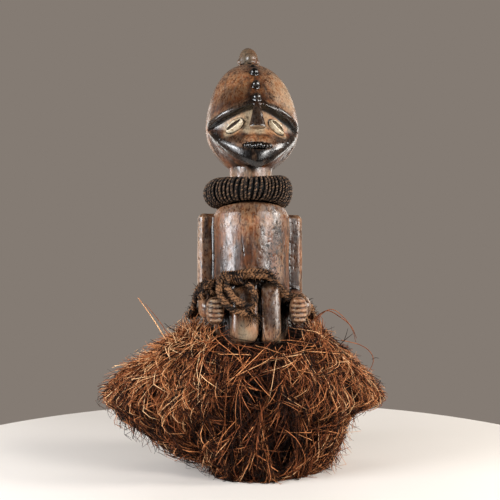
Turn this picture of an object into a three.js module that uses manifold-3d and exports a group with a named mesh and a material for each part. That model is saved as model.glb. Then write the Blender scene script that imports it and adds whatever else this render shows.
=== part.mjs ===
// A carved wooden guardian figure, standing, with cowrie-shell eyes, a collar of wound cord,
// a rope tied round the waist and over the forearms, and a bushy skirt of root fibre.
// Millimetres, +Z up. The figure faces -Y, and the origin is the centre of the base's underside.
import * as THREE from "three";
import { mergeVertices } from "three/addons/utils/BufferGeometryUtils.js";
import Module from "manifold-3d";

const wasm = await Module();
wasm.setup();

// Driving dimensions.
const GAP = 0.4; // clearance between two pieces that touch
const BASE = { height: 14, halfWidth: 43, halfDepth: 36 };
const NECK = { radius: 28 };
const HEAD = {
  apex: 531,
  widest: 439.5,
  bottom: 386, // where the underside of the head meets the neck
  rightHalf: 60.3, // the head is cut a little wider on the figure's left
  leftHalf: 63.2,
  front: 57,
  back: 58,
  crownLean: 15, // how far the crown sits behind the middle of the head
  browTop: 460,
  browDrop: 24,
  chin: 377,
  rimRise: 54,
  corner: THREE.MathUtils.degToRad(82), // where brow and jaw meet, measured from the front
};
const NOSE = { length: 38, topRadius: 3, bottomRadius: 12, y: -56.5, z: 446.5, lean: 5 };
const KNOT = { top: 557, height: 38, radius: 13, x: -2, y: 14 };
const MOUTH = { z: 405, y: -62.5, halfWidth: 18, halfHeight: 4.8, teeth: 7 };
const SHOULDER_RISE = 4; // how much higher the shoulders end in front than at the sides
const ARM = { outer: 69.5, inner: 48, top: 326.5, bottom: 205, y: 12, halfDepth: 14 };
const FOREARM = { at: [57.5, -17, 209], half: [12, 36, 14], slope: 0.26, inwards: 0.1 };
const HAND = { x: 52, y: -52, z: 200, halfWidth: 11.5, halfDepth: 13, halfHeight: 17 };
const FINGER = { halfWidth: 8.6, halfDepth: 4.4 };
const THIGH = { at: [21, -4, 122], half: [20, 24, 42], lean: 0.12 };
const CALF = { at: [22, 2, 58], half: [17, 19, 48], lean: -0.12 };
const FOOT = { at: [21, -8, 18], half: [16, 26, 10], lean: 0 };
const BELLY = {
  right: { at: [-15, -45, 194], half: [17.4, 18, 34.5] },
  left: { at: [16, -46, 196.5], half: [12.8, 18, 37] },
  lean: 0.15,
};
const COLLAR = { x: -2, z: 354, midRadius: 44, halfWidth: 15.5, halfHeight: 15.2, fullness: 1.08, wraps: 48 };
const COWRIE = { halfLength: 13, halfWidth: 6.8, halfThickness: 5, x: 27, y: -42, z: 433 };
const ROPE = { radius: 3.3, loopRadius: 4, drop: 5.8 };
const SKIRT = { frontTop: 157, sideTop: 188, holeRadius: 49 };

const { clamp, degToRad, lerp, smoothstep } = THREE.MathUtils;

// Solids.

// A closed three.js geometry as a solid that can be joined and cut.
function solid(geometry) {
  const plain = new THREE.BufferGeometry();
  plain.setAttribute("position", geometry.getAttribute("position"));
  if (geometry.index) plain.setIndex(geometry.index);
  const merged = mergeVertices(plain, 1e-3);
  const triVerts = new Uint32Array(merged.index.array);
  const vertProperties = merged.attributes.position.array;
  return new wasm.Manifold(new wasm.Mesh({ numProp: 3, vertProperties, triVerts }));
}

const join = (parts) => parts.reduce((whole, next) => whole.add(next));

// Both of a pair: make(1) stands on the figure's left, make(-1) on its right.
const pair = (make) => [make(1), make(-1)];

// A named mesh of a solid.
function piece(name, made, color, roughness) {
  const mesh = made.getMesh();
  const geometry = new THREE.BufferGeometry();
  geometry.setAttribute("position", new THREE.BufferAttribute(mesh.vertProperties, 3));
  geometry.setIndex(new THREE.BufferAttribute(mesh.triVerts, 1));
  geometry.computeVertexNormals();
  const material = new THREE.MeshStandardMaterial({ color, roughness, metalness: 0 });
  const named = new THREE.Mesh(geometry, material);
  named.name = name;
  return named;
}

// A sphere's net laid over a form of our own. place(angle, row) gives the point at that angle, which is 0
// at the front and grows towards the figure's left, and at that row, from 0 at the top to rows below.
// crowding draws the columns together at the front, where the detail is.
function net(around, rows, place, crowding = 0) {
  const geometry = new THREE.SphereGeometry(1, around, rows);
  const position = geometry.getAttribute("position");
  for (let row = 0; row <= rows; row++)
    for (let column = 0; column <= around; column++) {
      const even = ((column % around) / around) * 2 * Math.PI - Math.PI;
      const angle = even - crowding * Math.sin(even);
      position.setXYZ(row * (around + 1) + column, ...place(angle, row));
    }
  return solid(geometry);
}

// A point at a distance from the axis, in the direction of an angle.
const polar = (angle, radius, z) => [radius * Math.sin(angle), -radius * Math.cos(angle), z];

// Oval sections stacked from the top down: [height, half width, depth in front, depth behind].
// lift(angle, z) says how much higher a section's point lies.
function stack(sections, around, grow = 0, lift = () => 0) {
  const last = sections.length + 1;
  return net(around, last, (angle, row) => {
    const [z, width, front, back] = sections[clamp(row - 1, 0, sections.length - 1)];
    if (row === 0 || row === last) return [0, 0, z];
    const depth = Math.cos(angle) > 0 ? front : back;
    return [(width + grow) * Math.sin(angle), -(depth + grow) * Math.cos(angle), z + lift(angle, z)];
  });
}

// An ellipsoid, squared off where its power is above 2, turned and then put in its place.
function pebble({ at, half, power = 2, turn = [0, 0, 0], around = 10, rows = 6, grow = 0 }) {
  const geometry = new THREE.SphereGeometry(1, around, rows);
  geometry.rotateX(Math.PI / 2);
  const position = geometry.getAttribute("position");
  const point = new THREE.Vector3();
  for (let i = 0; i < position.count; i++) {
    point.fromBufferAttribute(position, i);
    const size = point.toArray().reduce((sum, v) => sum + Math.abs(v) ** power, 0) ** (1 / power);
    position.setXYZ(i, ...point.divideScalar(size));
  }
  geometry.scale(...half.map((v) => v + grow));
  geometry.applyMatrix4(new THREE.Matrix4().makeRotationFromEuler(new THREE.Euler(...turn)));
  geometry.translate(...at);
  return solid(geometry);
}

// The head: an egg-shaped dome over a hollowed face, whose brow and jaw meet at the temples.

// How wide the skull is at a height, as a share of its widest section.
function skullShare(z) {
  const rise = clamp((z - HEAD.widest) / (HEAD.apex - HEAD.widest), 0, 1);
  const fall = clamp((HEAD.widest - z) / 54, 0, 1);
  return rise > 0 ? (1 - rise ** 1.7) ** 0.4 : 1 - 0.54 * fall ** 2.2;
}

// The crown leans back, more and more towards the top.
function skullLean(z) {
  const rise = clamp((z - HEAD.widest) / (HEAD.apex - HEAD.widest), 0, 1);
  return HEAD.crownLean * rise ** 1.4;
}

function skullRadius(angle, z) {
  const depth = Math.cos(angle) > 0 ? HEAD.front : HEAD.back;
  const width = Math.sin(angle) > 0 ? HEAD.leftHalf : HEAD.rightHalf;
  const round = 1 / Math.hypot(Math.sin(angle) / width, Math.cos(angle) / depth);
  const radius = round * skullShare(z);
  return z < HEAD.widest ? Math.max(NECK.radius, radius) : radius;
}

// How far out an angle lies between the middle of the face and its corner.
const outwards = (angle) => Math.sin(Math.min(Math.abs(angle), HEAD.corner)) / Math.sin(HEAD.corner);

// How much of the face's own profile shows at an angle: all of it in front, none at the corners.
const faceShare = (angle) => Math.max(0, Math.cos((angle * Math.PI) / 2 / HEAD.corner)) ** 0.75;

const browHeight = (angle) => HEAD.browTop - HEAD.browDrop * outwards(angle) ** 1.4;

// The jaw's rim climbs evenly from the chin, then steeply at the corner. Behind it the edge is low again.
function rimHeight(angle) {
  const behind = 28 * smoothstep(Math.abs(angle), HEAD.corner, HEAD.corner + 0.6);
  const climb = lerp(outwards(angle) ** 8, outwards(angle) ** 1.2, 0.62);
  return HEAD.chin + HEAD.rimRise * climb - behind;
}

// The face's profile at the middle: share of the way from brow to chin, distance from the axis.
const FACE_PROFILE = [
  [0, 57.5],
  [0.05, 47.5],
  [0.18, 45.5],
  [0.36, 46.5],
  [0.48, 51],
  [0.58, 57],
  [0.68, 61],
  [0.79, 62.5],
  [0.91, 61],
  [1, 56],
];
// From the rim the underside runs in to the neck, in shares of the way.
const UNDER_JAW = [0.4, 0.75, 1];
const DOME_ROWS = 9;
const BROW_LIP = 2.2;

function headPoint(angle, row) {
  const brow = browHeight(angle);
  const rim = rimHeight(angle);
  const face = faceShare(angle);
  if (row < DOME_ROWS) {
    const edge = brow + 3.5;
    const z = edge + (HEAD.apex - edge) * Math.cos((row / (DOME_ROWS - 1)) * (Math.PI / 2));
    const lip = row === DOME_ROWS - 1 ? BROW_LIP * face : 0;
    const [x, y] = polar(angle, skullRadius(angle, z) + lip, z);
    return [x, y + skullLean(z), z];
  }
  const down = row - DOME_ROWS;
  if (down < FACE_PROFILE.length) {
    const [share, middle] = FACE_PROFILE[down];
    const z = lerp(brow, rim, share);
    return polar(angle, lerp(skullRadius(angle, z), middle, face), z);
  }
  const under = down - FACE_PROFILE.length;
  if (under < UNDER_JAW.length) {
    const z = lerp(rim, HEAD.bottom, UNDER_JAW[under]);
    const chin = lerp(FACE_PROFILE.at(-1)[1], NECK.radius, UNDER_JAW[under]);
    return polar(angle, lerp(skullRadius(angle, z), chin, face), z);
  }
  return [0, 0, HEAD.bottom - 2];
}

function skullAndFace() {
  const rows = DOME_ROWS + FACE_PROFILE.length + UNDER_JAW.length;
  return net(28, rows, headPoint, 0.3);
}

// A long wedge from the lowest stud of the crest down to a flat underside.
function nose() {
  const geometry = new THREE.CylinderGeometry(NOSE.topRadius, NOSE.bottomRadius, NOSE.length, 8);
  geometry.rotateX(Math.PI / 2);
  geometry.scale(0.94, 0.64, 1);
  geometry.rotateX(degToRad(-NOSE.lean));
  geometry.translate(0, NOSE.y, NOSE.z);
  return solid(geometry);
}

// The studs of the crest, from the brow up: height, distance in front of the axis, radius.
const STUDS = [
  [468, 54, 5.6],
  [487.5, 45.5, 5.2],
  [508, 31, 5.4],
  [521, 16, 2.6],
];
const crest = () => STUDS.map(([z, y, r]) => pebble({ at: [0, -y, z], half: [r, r, r], around: 8, rows: 4 }));

// The topknot: a knob with a blunt point, ringed by small beads, with a big bead in front.
function topknot() {
  const outline = [
    [0, KNOT.height],
    [1, KNOT.height - 2],
    [1, 15],
    [0.75, 7],
    [0.38, 2],
    [0, 0],
  ].map(([share, drop]) => new THREE.Vector2(KNOT.radius * share, KNOT.top - drop));
  const geometry = new THREE.LatheGeometry(outline, 12);
  geometry.rotateX(Math.PI / 2);
  geometry.translate(KNOT.x, KNOT.y, 0);
  const beads = [1, 2, 3, 4, 5, 6].map((i) => {
    const angle = (i / 7) * 2 * Math.PI;
    const [x, y, z] = polar(angle, KNOT.radius, KNOT.top - 20 - 3 * (i % 2));
    return pebble({ at: [KNOT.x + x, KNOT.y + y, z], half: [3.2, 3.2, 3.4], around: 6, rows: 3 });
  });
  const bead = { half: [7, 6, 6.4], around: 8, rows: 5 };
  const front = pebble({ at: [KNOT.x + 2, KNOT.y - 9, KNOT.top - 18], ...bead });
  return join([solid(geometry), front, ...beads]);
}

// Peg teeth stand in a row inside the mouth.
function teeth() {
  const step = (MOUTH.halfWidth * 1.6) / (MOUTH.teeth - 1);
  return Array.from({ length: MOUTH.teeth }, (_, i) => {
    const x = (i - (MOUTH.teeth - 1) / 2) * step;
    const y = MOUTH.y + 5 + x * x * 0.012;
    return pebble({ at: [x, y, MOUTH.z], half: [1.8, 4, 2.4], around: 5, rows: 3 });
  });
}

// A cowrie lies on its back in the face, slit outwards, slanting down towards the temple.
function cowrieForm(side, grow) {
  return pebble({
    at: [side * COWRIE.x, COWRIE.y, COWRIE.z],
    half: [COWRIE.halfLength, COWRIE.halfThickness, COWRIE.halfWidth],
    turn: [0.1, side * degToRad(37), side * degToRad(24)],
    power: 2.1,
    around: 10,
    rows: 6,
    grow,
  });
}

function head() {
  const half = [MOUTH.halfWidth, 7, MOUTH.halfHeight];
  const mouth = pebble({ at: [0, MOUTH.y, MOUTH.z], half, around: 12, rows: 5 });
  const hollows = join([mouth, ...pair((side) => cowrieForm(side, GAP))]);
  const made = join([skullAndFace(), nose(), ...crest(), topknot()]).subtract(hollows);
  return join([made, ...teeth()]);
}

// The trunk: neck, rounded shoulders, straight chest and hips, ending where the legs begin.
const TRUNK = [
  [391, NECK.radius, NECK.radius, NECK.radius],
  [336, NECK.radius, NECK.radius, NECK.radius],
  [333.5, 37, 36, 36],
  [331.5, 45, 42.5, 43.5],
  [323, 50, 46, 48],
  [308, 51, 47.5, 50],
  [262, 50, 46.5, 49],
  [215, 51, 48, 51],
  [172, 48, 47, 51],
  [148, 42, 42, 46],
  [134, 34, 30, 34],
];
const SHOULDER = { from: 318, to: 334 };
const trunk = (grow = 0) =>
  stack(TRUNK, 22, grow, (angle, z) => {
    const shoulder = smoothstep(z, SHOULDER.from, SHOULDER.to);
    return SHOULDER_RISE * shoulder * Math.max(0, Math.cos(angle));
  });

// The swelling lower belly, parted by an upright cleft. Its right lobe is the wider one.
const belly = (grow = 0) =>
  [BELLY.right, BELLY.left].map((lobe) =>
    pebble({ ...lobe, power: 3.4, turn: [-BELLY.lean, 0, 0], around: 12, rows: 8, grow }),
  );

function upperArm(side, grow = 0) {
  return pebble({
    at: [(side * (ARM.outer + ARM.inner)) / 2, ARM.y, (ARM.top + ARM.bottom) / 2],
    half: [(ARM.outer - ARM.inner) / 2, ARM.halfDepth, (ARM.top - ARM.bottom) / 2],
    power: 5,
    rows: 8,
    grow,
  });
}

// The forearm slopes down from the elbow to the hand.
function forearm(side, grow = 0) {
  const [x, y, z] = FOREARM.at;
  const turn = [FOREARM.slope, 0, side * FOREARM.inwards];
  return pebble({ at: [side * x, y, z], half: FOREARM.half, turn, power: 3.2, grow });
}

// A closed hand seen end on, with four fingers across it.
function hand(side, grow = 0) {
  const half = [HAND.halfWidth, HAND.halfDepth, HAND.halfHeight];
  const fist = pebble({ at: [side * HAND.x, HAND.y, HAND.z], half, power: 2.4, grow });
  const pitch = (HAND.halfHeight * 1.7) / 4;
  const fingers = [-1.5, -0.5, 0.5, 1.5].map((step) =>
    pebble({
      at: [side * (HAND.x - 0.5), HAND.y - HAND.halfDepth + 2.5, HAND.z + step * pitch],
      half: [FINGER.halfWidth, FINGER.halfDepth - Math.abs(step) * 0.8, pitch * 0.46],
      power: 2.6,
      around: 6,
      rows: 3,
      grow,
    }),
  );
  return join([fist, ...fingers]);
}

// Short bent legs under the skirt, standing on a low base.
function leg(side) {
  const parts = [THIGH, CALF, FOOT].map(({ at: [x, y, z], half, lean }) =>
    pebble({ at: [side * x, y, z], half, power: 2.7, turn: [lean, 0, 0], around: 8, rows: 4 }),
  );
  return join(parts);
}

function base() {
  const corners = 24;
  const squareness = 3;
  const outline = Array.from({ length: corners }, (_, i) => {
    const angle = (i / corners) * 2 * Math.PI;
    const [c, s] = [Math.cos(angle), Math.sin(angle)];
    const reach = (Math.abs(c) ** squareness + Math.abs(s) ** squareness) ** (-1 / squareness);
    return new THREE.Vector2(BASE.halfWidth * c * reach, BASE.halfDepth * s * reach);
  });
  const options = { depth: BASE.height, bevelEnabled: false };
  return solid(new THREE.ExtrudeGeometry(new THREE.Shape(outline), options));
}

function carvedFigure() {
  const limbs = [upperArm, forearm, hand, leg].flatMap((limb) => pair((side) => limb(side)));
  return join([head(), trunk(), ...belly(), ...limbs, base()]);
}

// What the rope lies against, with the clearance added.
function ropeBed() {
  const arms = [upperArm, forearm, hand].flatMap((limb) => pair((side) => limb(side, GAP)));
  return join([trunk(GAP), ...belly(GAP), ...arms]);
}

// A cowrie shell with the slit along its length.
function cowrie(side) {
  const turn = [0.1, side * degToRad(37), side * degToRad(24)];
  const at = [side * (COWRIE.x + 1.8), COWRIE.y - COWRIE.halfThickness * 0.9, COWRIE.z];
  const slit = pebble({ at, half: [COWRIE.halfLength * 0.8, 1.8, 0.9], turn, around: 8, rows: 4 });
  return cowrieForm(side, 0).subtract(slit);
}

// A closed tube whose section is set by place(around, section), both counted in turns.
function ring(steps, sides, place) {
  const geometry = new THREE.TorusGeometry(1, 0.5, sides, steps);
  const position = geometry.getAttribute("position");
  for (let j = 0; j <= sides; j++)
    for (let i = 0; i <= steps; i++)
      position.setXYZ(j * (steps + 1) + i, ...place(i % steps, ((j % sides) / sides) * 2 * Math.PI));
  return solid(geometry);
}

// The collar: cord wound round and round a hoop, one ridge for each turn. It is thickest at the sides, deeper
// and higher on the figure's left and wider on its right.
function collar() {
  const steps = COLLAR.wraps * 2;
  return ring(steps, 6, (i, section) => {
    const around = (i / steps) * 2 * Math.PI;
    const left = Math.cos(around);
    const swell = i % 2 === 0 ? 1 : 0.9;
    const width = COLLAR.halfWidth - 2 * left;
    const height = COLLAR.halfHeight + 4.9 * left ** 2 + left;
    const radius = COLLAR.midRadius + swell * width * Math.cos(section);
    const z = COLLAR.z + 1.5 * left + swell * height * Math.sin(section) * COLLAR.fullness;
    return [COLLAR.x + radius * Math.cos(around), radius * Math.sin(around), z];
  });
}

// The waist rope.

const points = (route) => route.map((p) => new THREE.Vector3(...p));

// A rope whose two ends meet. Its route runs anticlockwise, seen from above.
function ropeRing(route, radius, steps, sides = 5) {
  const curve = new THREE.CatmullRomCurve3(points(route), true, "centripetal");
  const up = new THREE.Vector3(0, 0, 1);
  return ring(steps, sides, (i, section) => {
    const at = curve.getPointAt(i / steps);
    const side = curve.getTangentAt(i / steps).cross(up).normalize();
    const rise = side.clone().cross(curve.getTangentAt(i / steps)).normalize();
    at.addScaledVector(side, radius * Math.cos(section));
    at.addScaledVector(rise, radius * Math.sin(section));
    return at.toArray();
  });
}

// A rope with two ends.
function ropeRun(route, radius, steps, sides = 5) {
  const outline = Array.from({ length: sides }, (_, i) => {
    const angle = (i / sides) * 2 * Math.PI;
    return new THREE.Vector2(radius * Math.cos(angle), radius * Math.sin(angle));
  });
  const extrudePath = new THREE.CatmullRomCurve3(points(route), false, "centripetal");
  const options = { steps, extrudePath, bevelEnabled: false };
  return solid(new THREE.ExtrudeGeometry(new THREE.Shape(outline), options));
}

// From the figure's right forearm across the belly, over its left forearm and round the back.
const WAIST_ROUTE = [
  [-76, -27, 207],
  [-70, -36, 230],
  [-56, -45, 235],
  [-44, -37, 236],
  [-24, -48.5, 246],
  [0, -52.5, 248.5],
  [14, -50.5, 247],
  [27, -47, 233],
  [38, -45, 220],
  [52, -42, 217.5],
  [66, -38, 211],
  [75, -30, 200],
  [77, -8, 195],
  [66, 30, 199],
  [36, 52, 207],
  [0, 57, 211],
  [-36, 52, 207],
  [-66, 30, 200],
  [-78, -6, 198],
];
// Two loops hang from the whipping at the figure's right and end in a knot over the belly.
const OUTER_LOOP = [
  [-36, -52, 244],
  [-46, -58, 237],
  [-48, -63, 227],
  [-46, -67, 217],
  [-38, -71, 206],
  [-25, -73, 198],
  [-14, -73, 197],
];
const INNER_LOOP = [
  [-34, -53, 243],
  [-39, -60, 233],
  [-36, -66, 223],
  [-29, -70, 214],
  [-19, -73, 208],
  [-9, -72, 206],
  [-5, -70, 215],
  [-6, -65, 223],
  [-12, -57, 232],
];
// The whipping round the loops' upper ends, the coils on the right forearm and the knot over the belly.
const WHIPPING = { at: [-29, -48, 240], half: [17, 8, 9], turn: [0, 0.1, -0.55], power: 3 };
const COILS = { at: [-61, -38, 222], half: [10, 12, 14.5], turn: [0.2, 0, 0.15], power: 2.6 };
const BELLY_KNOT = { at: [-13, -72, 199], half: [9, 5, 6], turn: [0, 0.3, 0] };

function waistRope(grow = 0) {
  const second = WAIST_ROUTE.map(([x, y, z]) => [x * 1.02, y * 1.04, z - ROPE.drop]);
  const lumps = [WHIPPING, COILS, BELLY_KNOT].map((lump) => pebble({ ...lump, around: 8, rows: 5, grow }));
  return join([
    ropeRing(WAIST_ROUTE, ROPE.radius + grow, 28),
    ropeRing(second, ROPE.radius + grow, 28),
    ropeRun(OUTER_LOOP, ROPE.loopRadius + grow, 10),
    ropeRun(INNER_LOOP, ROPE.loopRadius + grow, 12),
    ...lumps,
  ]);
}

// The skirt: a thick bush of fibre that swells in front and reaches out in a wing at each side.

// Its outline at each side and in front, from the top down: height, reach from the axis.
const OUTLINE = {
  right: [
    [189, 67],
    [160, 107],
    [124, 159],
    [98, 180],
    [76, 166],
    [47, 128],
    [31, 108],
    [21, 62],
    [9, 52],
  ],
  left: [
    [189, 80],
    [154, 111],
    [119, 151],
    [96, 168],
    [67, 132],
    [32, 116],
    [1, 90],
  ],
  front: [
    [189, 60],
    [110, 82],
    [62, 90],
    [25, 87],
    [1, 80],
  ],
};

function reach(outline, z) {
  const below = outline.findIndex(([height]) => height <= z);
  const next = below < 0 ? outline.length - 1 : Math.max(below, 1);
  const [[high, from], [low, to]] = [outline[next - 1], outline[next]];
  return lerp(from, to, clamp((high - z) / (high - low), 0, 1));
}

// The hem clears the floor at the figure's right and brushes it elsewhere.
function hemHeight(angle) {
  return lerp(OUTLINE.left.at(-1)[0], OUTLINE.right.at(-1)[0], smoothstep(-Math.sin(angle), 0.1, 0.5));
}

function skirtPoint(angle, row, rows) {
  const top = lerp(SKIRT.frontTop, SKIRT.sideTop, ((1 - Math.cos(angle)) / 2) ** 0.6);
  const hem = hemHeight(angle);
  if (row === 0) return [0, 0, SKIRT.frontTop];
  if (row === rows) return [0, 0, OUTLINE.right.at(-1)[0]];
  const z = lerp(top, hem, (row - 1) / (rows - 2));
  const sideways = Math.sin(angle);
  const wing = reach(sideways < 0 ? OUTLINE.right : OUTLINE.left, z);
  const bush = lerp(reach(OUTLINE.front, z), wing, Math.abs(sideways) ** 2.4);
  const locks = 2.4 * Math.sin(angle * 13 + z * 0.04) + 1.6 * Math.sin(angle * 22 - z * 0.05);
  return polar(angle, bush + locks * smoothstep(bush, 60, 90), z);
}

function fibreSkirt() {
  const rows = 12;
  const bush = net(32, rows, (angle, row) => skirtPoint(angle, row, rows));
  const hole = stack([SKIRT.sideTop + 20, -5].map((z) => [z, ...Array(3).fill(SKIRT.holeRadius)]), 20);
  return bush.subtract(join([hole, trunk(GAP), ...belly(GAP), waistRope(GAP)]));
}

// The object.
const object = new THREE.Group();
object.add(
  piece("carved_figure", carvedFigure(), 0x5c3a28, 0.42),
  piece("right_cowrie_eye", cowrie(-1), 0xd8c9b4, 0.4),
  piece("left_cowrie_eye", cowrie(1), 0xd8c9b4, 0.4),
  piece("neck_collar", collar(), 0x3a2a1e, 0.85),
  piece("waist_rope", waistRope().subtract(ropeBed()), 0x6b4a33, 0.85),
  piece("fibre_skirt", fibreSkirt(), 0x6a3a20, 0.8),
);

export default object;
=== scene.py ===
"""A carved guardian figure with cowrie eyes, a collar of wound cord, a waist rope and a skirt of root fibre.

The pieces are modelled in millimetres and brought to metres when they are finished. The figure faces -Y,
so its left hand is on the +X side.
"""

import logging
import math
from collections.abc import Callable
from dataclasses import dataclass, field
from enum import Enum

import bpy
import numpy as np
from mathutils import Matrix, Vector


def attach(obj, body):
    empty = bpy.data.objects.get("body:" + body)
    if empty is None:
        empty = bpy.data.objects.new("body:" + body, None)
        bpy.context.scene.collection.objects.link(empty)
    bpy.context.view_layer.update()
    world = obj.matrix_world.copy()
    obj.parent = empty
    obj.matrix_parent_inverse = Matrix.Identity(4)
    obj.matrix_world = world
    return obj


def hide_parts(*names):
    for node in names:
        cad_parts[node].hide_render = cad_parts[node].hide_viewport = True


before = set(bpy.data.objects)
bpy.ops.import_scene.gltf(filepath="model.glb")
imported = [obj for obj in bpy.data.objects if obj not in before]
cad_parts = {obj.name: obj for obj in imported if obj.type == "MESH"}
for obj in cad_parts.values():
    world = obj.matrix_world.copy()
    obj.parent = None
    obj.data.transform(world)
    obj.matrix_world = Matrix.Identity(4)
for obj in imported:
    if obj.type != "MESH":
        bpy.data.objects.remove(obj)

log = logging.getLogger("ambete_figure")
Array = np.ndarray
Pair = tuple[float, float]
Triple = tuple[float, float, float]
Colour = tuple[float, float, float, float]
Piece = bpy.types.Object
Material = bpy.types.Material
Socket = bpy.types.NodeSocket

MM = 0.001
TURN = math.tau
DENSE_BALL = 150


class Side(Enum):
    """The two sides of the figure."""

    RIGHT = -1
    LEFT = 1


class Slot(Enum):
    """The record's material slots."""

    WOOD = "patinated_wood"
    SHELL = "cowrie_shell"
    CORD = "dark_cord"
    ROPE = "plant_rope"
    FIBRE = "root_fibre"


# Working with numbers.


def eased(low: float | Array, high: float | Array, value: Array) -> Array:
    """Rises smoothly from 0 at low to 1 at high, which may also be the lesser of the two."""
    share = np.clip((value - low) / (high - low), 0, 1)
    return share * share * (3 - 2 * share)


def blend(start: Array, end: Array, share: Array) -> Array:
    """Straight blend from start to end."""
    return start + (end - start) * share


def unit(vectors: Array) -> Array:
    """Vectors brought to length one."""
    return vectors / np.maximum(np.linalg.norm(vectors, axis=-1, keepdims=True), 1e-9)


def lattice(x: Array, y: Array, z: Array, seed: int) -> Array:
    """A fixed random value from -1 to 1 for each whole-number place.

    Args:
        x: First whole coordinate.
        y: Second whole coordinate.
        z: Third whole coordinate.
        seed: Picks one of many such lattices.

    Returns:
        The values, one for each place.
    """
    mixed = (x * 73856093) ^ (y * 19349663) ^ (z * 83492791) ^ (seed * 97531)
    mixed = ((mixed ^ (mixed >> 13)) * 1274126177) & 0xFFFFFFFF
    mixed = ((mixed ^ (mixed >> 15)) * 668265263) & 0xFFFFFFFF
    return ((mixed ^ (mixed >> 16)) & 0xFFFF) / 32767.5 - 1


def drift(points: Array, size: float | tuple, seed: int, octaves: int = 1) -> Array:
    """Smooth noise from about -1 to 1.

    Args:
        points: Places in millimetres, one row each.
        size: How large its patches are, in millimetres, for all axes or for each.
        seed: Picks the pattern.
        octaves: How many layers, each half as large and half as strong.

    Returns:
        One value for each place.
    """
    total = np.zeros(len(points))
    strength, reach = 1, 0
    grid = points / np.asarray(size, dtype=float)
    for layer in range(octaves):
        low = np.floor(grid).astype(np.int64)
        part = grid - low
        part = part * part * (3 - 2 * part)
        value = np.zeros(len(points))
        for dx in (0, 1):
            for dy in (0, 1):
                for dz in (0, 1):
                    weight = (
                        np.abs(1 - dx - part[:, 0])
                        * np.abs(1 - dy - part[:, 1])
                        * np.abs(1 - dz - part[:, 2])
                    )
                    value += weight * lattice(low[:, 0] + dx, low[:, 1] + dy, low[:, 2] + dz, seed + layer)
        total += strength * value
        reach += strength
        strength *= 0.5
        grid = grid * 2.03 + 11.7
    return total / reach


def turn_matrix(turn: Triple) -> Array:
    """The matrix that turns about z, then y, then x, by angles in radians."""
    (a, b, c) = turn
    about_x = np.array([[1, 0, 0], [0, math.cos(a), -math.sin(a)], [0, math.sin(a), math.cos(a)]])
    about_y = np.array([[math.cos(b), 0, math.sin(b)], [0, 1, 0], [-math.sin(b), 0, math.cos(b)]])
    about_z = np.array([[math.cos(c), -math.sin(c), 0], [math.sin(c), math.cos(c), 0], [0, 0, 1]])
    return about_x @ about_y @ about_z


def oval(angle: Array, width: Array, depth: Array, z: Array) -> Array:
    """Points on level ovals, at an angle from the front that grows towards the figure's left."""
    return np.stack([width * np.sin(angle), -depth * np.cos(angle), z], axis=-1)


def polar(angle: Array, radius: Array, z: Array) -> Array:
    """Points at an angle from the front and at a distance from the axis."""
    return oval(angle, radius, radius, z + 0 * angle)


def tangents(lines: Array, closed: bool) -> Array:
    """The direction at each point of one line or many."""
    if closed:
        return unit(np.roll(lines, -1, axis=-2) - np.roll(lines, 1, axis=-2))
    return unit(np.gradient(lines, axis=-2))


def travelled(points: Array) -> Array:
    """How far along a line each of its points lies."""
    return np.concatenate([[0], np.cumsum(np.linalg.norm(np.diff(points, axis=0), axis=1))])


def smooth_route(route: list, step: float, closed: bool = False) -> Array:
    """An even run of points on a smooth curve through a rope's route.

    Args:
        route: The points that the rope passes through, in millimetres.
        step: The distance from one point of the result to the next.
        closed: True if the rope's ends meet.

    Returns:
        The points, without a repeated last one where the route is closed.
    """
    knots = np.asarray(route, dtype=float)
    if closed:
        knots = np.vstack([knots[-1], knots, knots[0], knots[1]])
    else:
        knots = np.vstack([2 * knots[0] - knots[1], knots, 2 * knots[-1] - knots[-2]])
    fine = []
    for p0, p1, p2, p3 in zip(knots, knots[1:], knots[2:], knots[3:]):
        t1 = np.linalg.norm(p1 - p0) ** 0.5
        t2 = t1 + np.linalg.norm(p2 - p1) ** 0.5
        t3 = t2 + np.linalg.norm(p3 - p2) ** 0.5
        t = np.linspace(t1, t2, 24, endpoint=False)[:, None]
        a1 = (t1 - t) / t1 * p0 + t / t1 * p1
        a2 = (t2 - t) / (t2 - t1) * p1 + (t - t1) / (t2 - t1) * p2
        a3 = (t3 - t) / (t3 - t2) * p2 + (t - t2) / (t3 - t2) * p3
        b1 = (t2 - t) / t2 * a1 + t / t2 * a2
        b2 = (t3 - t) / (t3 - t1) * a2 + (t - t1) / (t3 - t1) * a3
        fine.append((t2 - t) / (t2 - t1) * b1 + (t - t1) / (t2 - t1) * b2)
    fine = np.vstack(fine + [knots[-2][None]])
    along = travelled(fine)
    count = max(4, int(round(along[-1] / step)))
    wanted = np.linspace(0, along[-1], count + 1)
    points = np.stack([np.interp(wanted, along, fine[:, axis]) for axis in range(3)], axis=1)
    return points[:-1] if closed else points


def frames_along(points: Array, closed: bool = False) -> tuple[Array, Array, Array]:
    """Tangent, side and rise at each point of a route, with no sudden twist.

    Args:
        points: The route.
        closed: True if its ends meet.

    Returns:
        Tangents, sides and rises, one row for each point.
    """
    tangent = tangents(points, closed)
    up = np.array([0, 0, 1])
    side = np.zeros_like(points)
    last = np.cross(tangent[0], up)
    if np.linalg.norm(last) < 0.2:
        last = np.array([1, 0, 0])
    for i, along in enumerate(tangent):
        last = last - along * np.dot(last, along)
        last = last / np.linalg.norm(last)
        side[i] = last
    if closed:
        gap = math.atan2(np.dot(np.cross(side[-1], side[0]), tangent[0]), np.dot(side[-1], side[0]))
        turns = np.linspace(0, gap, len(points), endpoint=False)[:, None]
        side = side * np.cos(turns) + np.cross(tangent, side) * np.sin(turns)
    return tangent, side, np.cross(side, tangent)


# Working with meshes.


def pick(*objects: Piece) -> None:
    """Selects only these objects and makes the first one active."""
    bpy.ops.object.select_all(action="DESELECT")
    for one in objects:
        one.select_set(True)
    bpy.context.view_layer.objects.active = objects[0]


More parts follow.
